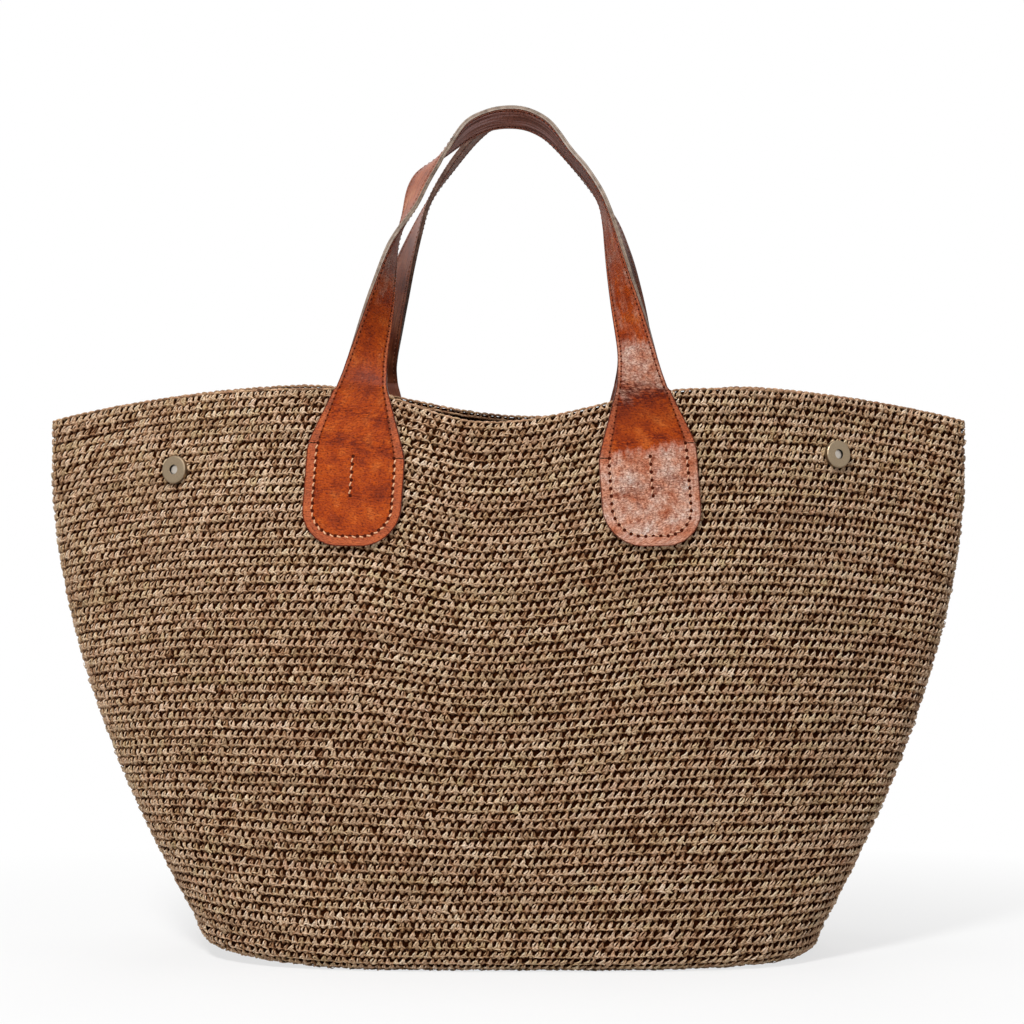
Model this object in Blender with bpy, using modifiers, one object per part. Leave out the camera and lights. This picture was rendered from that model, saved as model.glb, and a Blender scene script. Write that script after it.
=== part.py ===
"""A hand-crocheted raffia basket with pinched wings, two leather handles and magnetic snaps on its wings.

Metres, +Z up, the front faces -Y, and the basket stands on z = 0 round its own middle.
"""

import math

import bmesh
import bpy
from mathutils import Vector

FRONT = -1
BACK = 1
SIDES = ((FRONT, "front"), (BACK, "back"))
HANDS = ((-1, "left"), (1, "right"))

# Crocheted body
TOP_HALF_WIDTH = 0.3035
FLARE = 0.104
FLARE_TOP_SHARE = 0.839
FLARE_CURVE_SHARE = 1.7
BASE_HALF_DEPTH = 0.092
BELLY = 0.014
BELLY_HEIGHT = 0.230
WALL = 0.004
BOTTOM_EDGE_RADIUS = 0.014
RIM_HEIGHT = 0.3755
CORNER_DROP = 0.0235
CORNER_START = 0.125
WING_HALF_DEPTH = 0.0065
BASE_LEFT_SQUARE_SHARE = 2.9
BASE_RIGHT_SQUARE_SHARE = 4.2
BASE_SQUARE_Y_SHARE = 3.2
LENS_SHARE = 1.6
WING_FOLD_SHARE = 36.0
PINCH_SHARE = 1.25
COLUMNS_A_QUARTER = 16
WALL_ROWS = 14
EDGE_ROWS = 3
BASE_ROWS = 4
OUTLINE_SAMPLES = 240

# The rim dips between the legs of each handle: middle, reach to the left and to the right, depth
FRONT_DIP_MIDDLE = -0.012
FRONT_DIP_LEFT = 0.095
FRONT_DIP_RIGHT = 0.135
FRONT_DIP = 0.021
BACK_DIP_MIDDLE = 0.015
BACK_DIP_REACH = 0.160
BACK_DIP = 0.022

# The soft foot curls up a little towards its two ends
LEFT_FOOT_LIFT = 0.0095
RIGHT_FOOT_LIFT = 0.0030
FOOT_LIFT_START_SHARE = 0.35

# The right gusset folds in a little, along a crease that runs down beside the wing
CREASE_DEPTH = 0.007
CREASE_HEIGHT = 0.150
CREASE_REACH = 0.085
CREASE_ACROSS_SHARE = 0.86
CREASE_WIDTH_SHARE = 0.09

# Leather
SEAT_GAP = 0.0004
LAYER_GAP = 0.0003
HINGE_GAP = 0.0010
TAB_THICKNESS = 0.0021
OUTER_LEATHER = 0.0020
LINING_LEATHER = 0.0015
PATCH_LEATHER = 0.0015

# Tabs: the paddle ends of each handle, sewn to the wall
HINGE_RISE = 0.0015
HINGE_HEIGHT = RIM_HEIGHT + HINGE_RISE
HINGE_OUTSET = 0.0020
HINGE_HALF_WIDTH = 0.0165
TAB_HALF_WIDTH = 0.0315
TAB_LENGTH = 0.101
SHOULDER_DROP = 0.037
SHOULDER_SOFTNESS = 0.004
TAB_CORNER_RADIUS = 0.0245
LEFT_TAB_X = -0.0935
RIGHT_TAB_X = 0.0850
BACK_RIGHT_TAB_X = 0.0900
TAB_LEAN_SHARE = 0.075
TAB_COLUMNS = 6
SHOULDER_ROWS = 5
TAB_SIDE_ROWS = 3
TAB_CORNER_ROWS = 5
PATCH_TOP_DROP = 0.030
PATCH_INSET = 0.005

# Handle straps
STRAP_WIDTH = 0.024
STRAP_FLARE_SHARE = 0.20
FRONT_RISE = 0.1792
BACK_RISE = 0.1787
ARCH_X = 0.0010
FRONT_SETBACK = 0.0115
BACK_SETBACK = 0.0130
SOFT_START_SHARE = 0.05
FRAME_SETTLE_SHARE = 0.08
STRAP_STEPS = 72
STRAP_COLUMNS = 2

# A leg's middle line as (share of the way out to its tab, share of the rise, share of the turn on edge)
FRONT_LEFT_LEG_SHARES = (
    (1.000, 0.000, 0.00),
    (0.955, 0.170, 0.20),
    (0.895, 0.320, 0.42),
    (0.850, 0.470, 0.60),
    (0.812, 0.540, 0.74),
    (0.762, 0.595, 0.90),
    (0.710, 0.650, 0.80),
    (0.650, 0.730, 0.64),
    (0.605, 0.775, 0.68),
    (0.566, 0.805, 0.74),
    (0.520, 0.838, 0.85),
    (0.340, 0.940, 0.96),
    (0.168, 0.987, 1.03),
)
FRONT_RIGHT_LEG_SHARES = (
    (1.000, 0.000, 0.00),
    (0.950, 0.170, 0.18),
    (0.890, 0.320, 0.32),
    (0.842, 0.466, 0.48),
    (0.820, 0.540, 0.58),
    (0.795, 0.610, 0.70),
    (0.746, 0.690, 0.84),
    (0.634, 0.780, 0.93),
    (0.530, 0.838, 0.97),
    (0.343, 0.940, 1.01),
    (0.173, 0.987, 1.04),
)
BACK_LEFT_LEG_SHARES = (
    (1.000, 0.000, 0.00),
    (0.920, 0.170, 0.12),
    (0.850, 0.320, 0.32),
    (0.776, 0.470, 0.56),
    (0.692, 0.600, 0.88),
    (0.598, 0.710, 1.00),
    (0.468, 0.810, 1.05),
    (0.295, 0.920, 1.06),
    (0.145, 0.982, 1.07),
)
BACK_RIGHT_LEG_SHARES = (
    (1.000, 0.000, 0.00),
    (0.960, 0.170, 0.20),
    (0.920, 0.320, 0.42),
    (0.885, 0.470, 0.70),
    (0.830, 0.600, 0.94),
    (0.705, 0.710, 1.00),
    (0.550, 0.815, 1.04),
    (0.350, 0.920, 1.06),
    (0.170, 0.982, 1.07),
)
FRONT_TOP_SHARES = (0.0, 1.0, 1.05)
BACK_TOP_SHARES = (0.0, 1.0, 1.07)

# Magnetic snaps, one on each wing, front and back: inset from the wing's tip, drop below the rim
LEFT_SNAP_INSET = 0.0875
LEFT_SNAP_DROP = 0.0469
RIGHT_SNAP_INSET = 0.0905
RIGHT_SNAP_DROP = 0.0373
SNAP_RADIUS = 0.0092
SNAP_HEIGHT = 0.0034
SNAP_ROLL_RADIUS = 0.0010
CASE_SHEET = 0.0005
SNAP_HOLE_RADIUS = 0.0032
SNAP_CLEARANCE = 0.0003
PLATE_SHEET = 0.0007
SOCKET_STUD_RADIUS = 0.0026
SOCKET_STUD_HEIGHT = 0.0012
STUD_RADIUS = SNAP_HOLE_RADIUS - SNAP_CLEARANCE
STUD_HEIGHT = 0.0022
STUD_CHAMFER = 0.0005
MALE_HEIGHT = 0.0019
WASHER_RADIUS = 0.0075
WASHER_HOLE_RADIUS = 0.0020
WASHER_SHEET = 0.0008
PRONG_SPACING = 0.0090
PRONG_WIDTH = 0.0030
PRONG_SHEET = 0.0010
TURN_STEPS = 20
ROLL_STEPS = 3


def clear_scene():
    """Remove whatever the scene holds."""
    for old in list(bpy.data.objects):
        bpy.data.objects.remove(old)


def material(name, colour, roughness, metallic=0.0):
    """A plain Principled material."""
    made = bpy.data.materials.new(name)
    made.use_nodes = True
    shader = made.node_tree.nodes["Principled BSDF"]
    shader.inputs["Base Color"].default_value = (*colour, 1.0)
    shader.inputs["Roughness"].default_value = roughness
    shader.inputs["Metallic"].default_value = metallic
    return made


def half_width(height):
    """Half of the body's width at a height: the flare ends at a share of the rim's height."""
    below = max(0.0, 1.0 - height / (RIM_HEIGHT * FLARE_TOP_SHARE))
    return TOP_HALF_WIDTH - FLARE * below**FLARE_CURVE_SHARE


def half_depth(height):
    """Half of the body's depth, front to back, at a height."""
    return BASE_HALF_DEPTH + BELLY * math.sin(math.pi * height / (2.0 * BELLY_HEIGHT))


def pinch(height):
    """From 0 at the foot, where the outline is a rounded rectangle, to 1 at the rim, where it is a lens."""
    up = (height - BOTTOM_EDGE_RADIUS) / (RIM_HEIGHT - BOTTOM_EDGE_RADIUS)
    return min(1.0, max(0.0, up)) ** PINCH_SHARE


def outline(across, hand, depth, pinched):
    """Half depth of an outline at a share across its half width, on the left or on the right."""
    across = min(1.0, across)
    squareness = BASE_LEFT_SQUARE_SHARE if hand < 0 else BASE_RIGHT_SQUARE_SHARE
    square = (1.0 - across**squareness) ** (1.0 / BASE_SQUARE_Y_SHARE)
    wing = WING_HALF_DEPTH * math.sqrt(1.0 - across**WING_FOLD_SHARE)
    lens = (depth - WING_HALF_DEPTH) * 0.5 * (1.0 + math.cos(math.pi * across**LENS_SHARE))
    return (1.0 - pinched) * depth * square + pinched * (lens + wing)


def crease(x, height):
    """How far the right gusset is pushed in, on both panels alike."""
    across = x / half_width(height)
    along = (height - CREASE_HEIGHT) / CREASE_REACH
    beside = (across - CREASE_ACROSS_SHARE) / CREASE_WIDTH_SHARE
    return CREASE_DEPTH * math.exp(-along * along - beside * beside)


def wall_depth(x, height):
    """How far the wall's outer face is from the middle plane."""
    depth = outline(abs(x) / half_width(height), x, half_depth(height), pinch(height))
    return depth - min(crease(x, height), 0.5 * depth)


def on_wall(x, height, side, lift):
    """A point at a distance out from the wall's outer face, and the outward normal there."""
    step = WALL
    slope_x = (wall_depth(x + step, height) - wall_depth(x - step, height)) / (2.0 * step)
    slope_z = (wall_depth(x, height + step) - wall_depth(x, height - step)) / (2.0 * step)
    normal = Vector((-slope_x, side, -slope_z)).normalized()
    return Vector((x, side * wall_depth(x, height), height)) + normal * lift, normal


def rim_dip(x, side):
    """How much lower the rim is between the legs of a handle."""
    if side == FRONT:
        offset = x - FRONT_DIP_MIDDLE
        reach = FRONT_DIP_LEFT if offset < 0.0 else FRONT_DIP_RIGHT
        depth = FRONT_DIP
    else:
        offset = x - BACK_DIP_MIDDLE
        reach = BACK_DIP_REACH
        depth = BACK_DIP
    if abs(offset) > reach:
        return 0.0
    return depth * 0.5 * (1.0 + math.cos(math.pi * offset / reach))


def rim_height(x, side):
    """Height of the rim above the floor."""
    out = max(0.0, abs(x) - CORNER_START) / (TOP_HALF_WIDTH - CORNER_START)
    return RIM_HEIGHT - CORNER_DROP * out**2 - rim_dip(x, side)


def quarter_points(width, hand, depth, pinched):
    """Points evenly spaced along a quarter of an outline, from the middle of a panel to a wing."""
    fine = []
    for step in range(OUTLINE_SAMPLES + 1):
        across = 1.0 - (1.0 - step / OUTLINE_SAMPLES) ** 3
        fine.append((across * width, outline(across, hand, depth, pinched)))
    walked = [0.0]
    for before, after in zip(fine, fine[1:]):
        walked.append(walked[-1] + math.dist(before, after))
    points = []
    at = 0
    for column in range(COLUMNS_A_QUARTER + 1):
        wanted = walked[-1] * column / COLUMNS_A_QUARTER
        while at < OUTLINE_SAMPLES - 1 and walked[at + 1] < wanted:
            at += 1
        share = (wanted - walked[at]) / (walked[at + 1] - walked[at])
        (x0, y0), (x1, y1) = fine[at], fine[at + 1]
        points.append((x0 + (x1 - x0) * share, y0 + (y1 - y0) * share))
    return points


def ring(place):
    """One ring of the body, from place(column, hand, side), counter-clockwise from above."""
    last = COLUMNS_A_QUARTER
    points = [place(column, 1, FRONT) for column in range(last)]
    points += [place(column, 1, BACK) for column in range(last, 0, -1)]
    points += [place(column, -1, BACK) for column in range(last)]
    points += [place(column, -1, FRONT) for column in range(last, 0, -1)]
    return points


def foot_lift(x):
    """How far the foot is off the floor: nothing over the flat middle, more towards the ends."""
    across = abs(x) / half_width(BOTTOM_EDGE_RADIUS)
    out = max(0.0, across - FOOT_LIFT_START_SHARE) / (1.0 - FOOT_LIFT_START_SHARE)
    return (LEFT_FOOT_LIFT if x < 0.0 else RIGHT_FOOT_LIFT) * min(1.0, out) ** 2


def base_ring(inset, height):
    """A ring of the flat base or of its rounded edge, drawn in from the foot of the wall."""
    width = half_width(BOTTOM_EDGE_RADIUS) - inset
    depth = half_depth(BOTTOM_EDGE_RADIUS) - inset
    flat = {hand: quarter_points(width, hand, depth, 0.0) for hand, place in HANDS}

    def place(column, hand, side):
        x, y = flat[hand][column]
        return hand * x, side * y, height + foot_lift(hand * x)

    return ring(place)


def wall_ring(share):
    """A ring of the wall, at a share of the way up to the wavy rim."""
    level = RIM_HEIGHT
    top = quarter_points(half_width(level), 1, half_depth(level), pinch(level))

    def place(column, hand, side):
        rim = rim_height(hand * top[column][0], side)
        height = BOTTOM_EDGE_RADIUS + (level - BOTTOM_EDGE_RADIUS) * share + (rim - level) * share**2
        x, y = quarter_points(half_width(height), hand, half_depth(height), pinch(height))[column]
        y -= min(crease(hand * x, height), 0.5 * y)
        return hand * x, side * y, height + foot_lift(hand * x) * (1.0 - share) ** 2

    return ring(place)


def body_rings():
    """Every ring of the body, from the middle line of the base to the rim."""
    deepest = half_depth(BOTTOM_EDGE_RADIUS)
    rings = []
    for row in range(BASE_ROWS):
        inset = deepest + (BOTTOM_EDGE_RADIUS - deepest) * row / BASE_ROWS
        rings.append(base_ring(inset, 0.0))
    for row in range(EDGE_ROWS + 1):
        angle = 0.5 * math.pi * row / (EDGE_ROWS + 1)
        inset = BOTTOM_EDGE_RADIUS * (1.0 - math.sin(angle))
        rings.append(base_ring(inset, BOTTOM_EDGE_RADIUS * (1.0 - math.cos(angle))))
    for row in range(WALL_ROWS + 1):
        rings.append(wall_ring(row / WALL_ROWS))
    return rings


def solidify(piece, thickness, offset):
    """Give an open surface a thickness."""
    shell = piece.modifiers.new("Thickness", "SOLIDIFY")
    shell.thickness = thickness
    shell.offset = offset
    shell.use_even_offset = False


def add_mesh(name, mesh_data, collection, finish):
    """Close a bmesh into a new object of the collection."""
    mesh = bpy.data.meshes.new(name)
    mesh_data.to_mesh(mesh)
    mesh_data.free()
    mesh.materials.append(finish)
    mesh.shade_smooth()
    mesh.set_sharp_from_angle(angle=math.radians(40.0))
    piece = bpy.data.objects.new(name, mesh)
    collection.objects.link(piece)
    return piece


def crocheted_body(collection, finish):
    """Base and wall, worked in one piece: a loft from the base's middle line to the rim."""
    loft = bmesh.new()
    rings = [[loft.verts.new(point) for point in points] for points in body_rings()]
    around = len(rings[0])
    for below, above in zip(rings, rings[1:]):
        for column in range(around):
            after = (column + 1) % around
            loft.faces.new((below[column], below[after], above[after], above[column]))
    bmesh.ops.remove_doubles(loft, verts=loft.verts, dist=SEAT_GAP / around)
    body = add_mesh("basket_body", loft, collection, finish)
    solidify(body, WALL, -1.0)
    return body


def sheet(name, rows, collection, finish, flip):
    """An open sheet through rows of points. Its faces look outward, or the other way with flip."""
    surface = bmesh.new()
    grid = [[surface.verts.new(point) for point in row] for row in rows]
    for upper, lower in zip(grid, grid[1:]):
        for column in range(len(upper) - 1):
            corners = [upper[column], lower[column], lower[column + 1], upper[column + 1]]
            if flip:
                corners.reverse()
            surface.faces.new(corners)
    return add_mesh(name, surface, collection, finish)


def tab_x(side, hand):
    """Where the middle of a tab is along the hinge line."""
    if hand < 0:
        return LEFT_TAB_X
    return RIGHT_TAB_X if side == FRONT else BACK_RIGHT_TAB_X


def tab_half_width(drop):
    """Half width of a tab at a drop below the hinge line, above its round corners."""
    slant = HINGE_HALF_WIDTH + (TAB_HALF_WIDTH - HINGE_HALF_WIDTH) * drop / SHOULDER_DROP
    over = slant - TAB_HALF_WIDTH
    return TAB_HALF_WIDTH + 0.5 * (over - math.hypot(over, SHOULDER_SOFTNESS * 0.5))


def tab_outline(start, inset):
    """Rows of a tab as (half width, drop), from a drop down to its round end, drawn in by an inset."""
    shoulder = SHOULDER_DROP + SHOULDER_SOFTNESS
    radius = TAB_CORNER_RADIUS - inset
    corner = TAB_LENGTH - TAB_CORNER_RADIUS
    rows = []
    for row in range(SHOULDER_ROWS + 1):
        drop = start + (shoulder - start) * row / SHOULDER_ROWS
        rows.append((tab_half_width(drop) - inset, drop))
    for row in range(1, TAB_SIDE_ROWS):
        drop = shoulder + (corner - shoulder) * row / TAB_SIDE_ROWS
        rows.append((tab_half_width(drop) - inset, drop))
    straight = tab_half_width(corner) - TAB_CORNER_RADIUS
    for row in range(TAB_CORNER_ROWS + 1):
        angle = 0.5 * math.pi * row / TAB_CORNER_ROWS
        rows.append((straight + radius * math.cos(angle), corner + radius * math.sin(angle)))
    return rows


def tab_rows(side, hand, rows, lift):
    """Points of a tab's surface on the wall, at a distance out from the wall's face."""
    points = []
    for half, drop in rows:
        middle = tab_x(side, hand) + hand * TAB_LEAN_SHARE * drop
        line = []
        for column in range(TAB_COLUMNS + 1):
            x = middle + half * (2.0 * column / TAB_COLUMNS - 1.0)
            line.append(on_wall(x, HINGE_HEIGHT - drop, side, lift)[0])
        points.append(line)
    return points


def leather_tab(side, hand, name, collection, finish):
    """The paddle end of a handle, lying on the wall."""
    rows = tab_rows(side, hand, tab_outline(HINGE_GAP, 0.0), SEAT_GAP)
    tab = sheet(name, rows, collection, finish, side == BACK)
    solidify(tab, TAB_THICKNESS, 1.0)
    return tab


def backing_patch(side, hand, name, collection, finish):
    """The leather patch inside the wall that the tab's stitches go through."""
    rows = tab_rows(side, hand, tab_outline(PATCH_TOP_DROP, PATCH_INSET), -WALL - SEAT_GAP)
    patch = sheet(name, rows, collection, finish, side == BACK)
    solidify(patch, PATCH_LEATHER, -1.0)
    return patch


def through_points(points, count):
    """Evenly spaced points on a smooth curve that goes through the given ones."""
    times = [0.0]
    for before, after in zip(points, points[1:]):
        times.append(times[-1] + math.dist(before[:2], after[:2]))
    slopes = []
    last = len(points) - 1
    for index in range(len(points)):
        before, after = max(0, index - 1), min(last, index + 1)
        span = times[after] - times[before]
        slopes.append([(b - a) / span for a, b in zip(points[before], points[after])])
    made = []
    at = 0
    for step in range(count + 1):
        time = times[-1] * step / count
        while at < last - 1 and times[at + 1] < time:
            at += 1
        span = times[at + 1] - times[at]
        s = (time - times[at]) / span
        rise, settle = s * s * (3.0 - 2.0 * s), s * (1.0 - s)
        made.append([
            a + (b - a) * rise + settle * span * (m * (1.0 - s) - n * s)
            for a, b, m, n in zip(points[at], points[at + 1], slopes[at], slopes[at + 1])
        ])
    return made


def hinge_point(side, hand, lift):
    """The middle of a strap's end on the hinge line, and the outward normal there."""
    return on_wall(tab_x(side, hand), HINGE_HEIGHT, side, lift)


def strap_line(side):
    """Stations of a handle's outer face: middle point, share of the rise, turn on edge, lean."""
    top = FRONT_TOP_SHARES if side == FRONT else BACK_TOP_SHARES
    left = FRONT_LEFT_LEG_SHARES if side == FRONT else BACK_LEFT_LEG_SHARES
    right = FRONT_RIGHT_LEG_SHARES if side == FRONT else BACK_RIGHT_LEG_SHARES
    rise = FRONT_RISE if side == FRONT else BACK_RISE
    setback = FRONT_SETBACK if side == FRONT else BACK_SETBACK
    left_reach = tab_x(side, -1) - ARCH_X
    right_reach = tab_x(side, 1) - ARCH_X
    path = [(out * left_reach, up * rise, turn) for out, up, turn in left]
    path.append((top[0], top[1] * rise, top[2]))
    path += [(out * right_reach, up * rise, turn) for out, up, turn in reversed(right)]
    stations = []
    for x, up, turn in through_points(path, STRAP_STEPS):
        hand = -1 if x < 0.0 else 1
        start, normal = hinge_point(side, hand, SEAT_GAP + TAB_THICKNESS)
        share = min(1.0, max(0.0, up / rise))
        soft = share + SOFT_START_SHARE
        travel = share * share * (1.0 + SOFT_START_SHARE) / soft
        steepness = (1.0 + SOFT_START_SHARE) * share * (share + 2.0 * SOFT_START_SHARE) / soft**2
        reach = side * setback - start.y
        middle = Vector((ARCH_X + x, start.y + reach * travel, HINGE_HEIGHT + max(0.0, up)))
        yaw = math.atan2(hand * normal.x, side * normal.y)
        stations.append((middle, share, yaw + turn * (0.5 * math.pi - yaw), reach * steepness / rise))
    return stations


def strap_half_width(share):
    """Half width of a strap at a share of the way up, flaring out to the tab."""
    flare = max(0.0, 1.0 - share / STRAP_FLARE_SHARE) ** 2
    return 0.5 * STRAP_WIDTH + (HINGE_HALF_WIDTH - 0.5 * STRAP_WIDTH) * flare


def strap_rows(side, depth):
    """Points of a handle's surface, at a depth below its outer face, from the left tab to the right."""
    stations = strap_line(side)
    last = len(stations) - 1
    rows = []
    for index, (middle, share, turn, lean) in enumerate(stations):
        before = stations[max(0, index - 1)][0]
        after = stations[min(last, index + 1)][0]
        settle = min(1.0, share / FRAME_SETTLE_SHARE)
        upright = Vector((0.0, 0.0, 1.0 if index < last / 2 else -1.0))
        along = ((after - before).normalized() * settle + upright * (1.0 - settle)).normalized()
        face = Vector((0.0, side, -side * lean)).normalized()
        face = (face - along * face.dot(along)).normalized()
        out = face.cross(along) * -side
        normal = face * math.cos(turn) + out * math.sin(turn)
        width = along.cross(normal)
        sunk = depth + OUTER_LEATHER * math.sin(turn) ** 2
        row = []
        for column in range(STRAP_COLUMNS + 1):
            aside = strap_half_width(share) * (2.0 * column / STRAP_COLUMNS - 1.0)
            row.append(middle + width * aside - normal * sunk)
        rows.append(row)
    return rows


def hinge_axis(side):
    """A point on the hinge line that the leather bends round, just outside the strap's two ends."""
    rows = strap_rows(side, 0.0)
    reach = max(side * point.y for row in (rows[0], rows[-1]) for point in row)
    return Vector((0.0, side * (reach + HINGE_OUTSET), HINGE_HEIGHT))


def strap_layer(side, name, depth, thickness, hinge, collection, finish):
    """One leather layer of a handle, carried by the hinge empty."""
    rows = [[point - hinge.location for point in row] for row in strap_rows(side, depth)]
    layer = sheet(name, rows, collection, finish, side == FRONT)
    layer.parent = hinge
    solidify(layer, thickness, -1.0)
    return layer


def handle(side, label, collection, leather, lining):
    """A handle: outer leather and lining, which swing together on the hinge line."""
    hinge = bpy.data.objects.new(f"{label}_handle_hinge", None)
    hinge.location = hinge_axis(side)
    collection.objects.link(hinge)
    strap_layer(side, f"{label}_handle_leather", 0.0, OUTER_LEATHER, hinge, collection, leather)
    depth = OUTER_LEATHER + LAYER_GAP
    strap_layer(side, f"{label}_handle_lining", depth, LINING_LEATHER, hinge, collection, lining)


def turned(name, profile, closed, collection, finish):
    """A turned piece round its own Z axis, from a profile that runs down its outer side."""
    wire = bmesh.new()
    corners = [wire.verts.new((radius, 0.0, height)) for radius, height in profile]
    for before, after in zip(corners, corners[1:]):
        wire.edges.new((before, after))
    if closed:
        wire.edges.new((corners[-1], corners[0]))
    piece = add_mesh(name, wire, collection, finish)
    screw = piece.modifiers.new("Turn", "SCREW")
    screw.steps = TURN_STEPS
    screw.render_steps = TURN_STEPS
    screw.use_merge_vertices = True
    screw.merge_threshold = min(SNAP_CLEARANCE, CASE_SHEET) * 0.1
    return piece


def rolled(radius, height):
    """Points of a rolled edge, from the flat top round to the side."""
    points = []
    for step in range(ROLL_STEPS + 1):
        angle = 0.5 * math.pi * step / ROLL_STEPS
        inward = SNAP_ROLL_RADIUS * (1.0 - math.sin(angle))
        down = SNAP_ROLL_RADIUS * (1.0 - math.cos(angle))
        points.append((radius - inward, height - down))
    return points


def face_wall(piece, x, height, side, lift):
    """Place a piece on the wall with its own Z axis along the outward normal."""
    point, normal = on_wall(x, height, side, lift)
    piece.rotation_euler = normal.to_track_quat("Z", "Y").to_euler()
    piece.location = point


def snap_case(name, collection, finish):
    """The pressed cup over a socket half, with the hole that the stud goes into."""
    profile = [(SNAP_HOLE_RADIUS, SNAP_HEIGHT)] + rolled(SNAP_RADIUS, SNAP_HEIGHT)
    profile += [
        (SNAP_RADIUS, 0.0),
        (SNAP_RADIUS - CASE_SHEET, 0.0),
        (SNAP_RADIUS - CASE_SHEET, SNAP_HEIGHT - SNAP_ROLL_RADIUS),
        (SNAP_RADIUS - SNAP_ROLL_RADIUS, SNAP_HEIGHT - CASE_SHEET),
        (SNAP_HOLE_RADIUS, SNAP_HEIGHT - CASE_SHEET),
    ]
    return turned(name, profile, True, collection, finish)


def snap_magnet(name, collection, finish):
    """The ring magnet inside a socket half."""
    outer = SNAP_RADIUS - SNAP_ROLL_RADIUS - SNAP_CLEARANCE
    inner = SNAP_HOLE_RADIUS + SNAP_CLEARANCE
    top = SNAP_HEIGHT - CASE_SHEET - SNAP_CLEARANCE
    bottom = PLATE_SHEET + SNAP_CLEARANCE
    profile = [(inner, top), (outer, top), (outer, bottom), (inner, bottom)]
    return turned(name, profile, True, collection, finish)


def snap_plate(name, collection, finish):
    """The steel plate that closes a socket half, with the low stud seen in its hole."""
    outer = SNAP_RADIUS - CASE_SHEET - SNAP_CLEARANCE
    top = PLATE_SHEET + SOCKET_STUD_HEIGHT
    profile = [
        (0.0, top),
        (SOCKET_STUD_RADIUS, top),
        (SOCKET_STUD_RADIUS, PLATE_SHEET),
        (outer, PLATE_SHEET),
        (outer, 0.0),
        (0.0, 0.0),
    ]
    return turned(name, profile, False, collection, finish)


def snap_stud(name, collection, finish):
    """The stud half: a steel disc with a raised stud that enters the socket."""
    top = MALE_HEIGHT + STUD_HEIGHT
    profile = [
        (0.0, top),
        (STUD_RADIUS - STUD_CHAMFER, top),
        (STUD_RADIUS, top - STUD_CHAMFER),
        (STUD_RADIUS, MALE_HEIGHT),
    ]
    profile += rolled(SNAP_RADIUS, MALE_HEIGHT)
    profile += [(SNAP_RADIUS, 0.0), (0.0, 0.0)]
    return turned(name, profile, False, collection, finish)


def prong_washer(name, collection, finish):
    """The washer inside the wall, with a middle hole and a slot for each prong."""
    curve = bpy.data.curves.new(name, "CURVE")
    curve.dimensions = "2D"
    curve.fill_mode = "BOTH"
    curve.extrude = 0.5 * WASHER_SHEET
    outlines = []
    for radius in (WASHER_RADIUS, WASHER_HOLE_RADIUS):
        turns = [2.0 * math.pi * step / TURN_STEPS for step in range(TURN_STEPS)]
        outlines.append([(radius * math.cos(turn), radius * math.sin(turn)) for turn in turns])
    for sign in (-1, 1):
        middle = sign * 0.5 * PRONG_SPACING
        low, high = middle - 0.5 * PRONG_SHEET, middle + 0.5 * PRONG_SHEET
        reach = 0.5 * PRONG_WIDTH
        outlines.append([(low, -reach), (high, -reach), (high, reach), (low, reach)])
    for points in outlines:
        spline = curve.splines.new("POLY")
        spline.points.add(len(points) - 1)
        for corner, (x, y) in zip(spline.points, points):
            corner.co = (x, y, 0.0, 1.0)
        spline.use_cyclic_u = True
    curve.materials.append(finish)
    washer = bpy.data.objects.new(name, curve)
    collection.objects.link(washer)
    return washer


def snaps(collection, nickel, steel, magnet):
    """Socket halves on the front wings, stud halves on the back wings, a washer behind each."""
    left_x = LEFT_SNAP_INSET - TOP_HALF_WIDTH
    right_x = TOP_HALF_WIDTH - RIGHT_SNAP_INSET
    for x, drop, hand in ((left_x, LEFT_SNAP_DROP, "left"), (right_x, RIGHT_SNAP_DROP, "right")):
        height = rim_height(x, FRONT) - drop
        label = f"front_{hand}_snap"
        for piece in (
            snap_case(f"{label}_case", collection, nickel),
            snap_magnet(f"{label}_magnet", collection, magnet),
            snap_plate(f"{label}_plate", collection, steel),
        ):
            face_wall(piece, x, height, FRONT, SEAT_GAP)
        stud = snap_stud(f"back_{hand}_snap_stud", collection, nickel)
        face_wall(stud, x, height, BACK, SEAT_GAP)
        for side, label in SIDES:
            washer = prong_washer(f"{label}_{hand}_snap_washer", collection, steel)
            face_wall(washer, x, height, side, -WALL - SEAT_GAP - 0.5 * WASHER_SHEET)


def build():
    """Model the whole basket."""
    clear_scene()
    collection = bpy.data.collections.new("kiondo_basket")
    bpy.context.scene.collection.children.link(collection)
    raffia = material("raffia", (0.27, 0.19, 0.11), 0.8)
    leather = material("cognac_leather", (0.42, 0.12, 0.03), 0.4)
    lining = material("lining_leather", (0.20, 0.07, 0.03), 0.6)
    nickel = material("brushed_nickel", (0.55, 0.50, 0.40), 0.35, 1.0)
    steel = material("plain_steel", (0.45, 0.44, 0.42), 0.4, 1.0)
    magnet = material("magnet", (0.12, 0.12, 0.12), 0.5, 1.0)
    crocheted_body(collection, raffia)
    for side, label in SIDES:
        for hand, place in HANDS:
            leather_tab(side, hand, f"{label}_{place}_tab", collection, leather)
            backing_patch(side, hand, f"{label}_{place}_inner_patch", collection, lining)
        handle(side, label, collection, leather, lining)
    snaps(collection, nickel, steel, magnet)


build()
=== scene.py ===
"""The looks of a hand-crocheted raffia basket with two leather handles and magnetic snaps on its wings.

Metres, +Z up, the front faces -Y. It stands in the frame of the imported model, whose sizes are repeated here.
"""

import math

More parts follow.
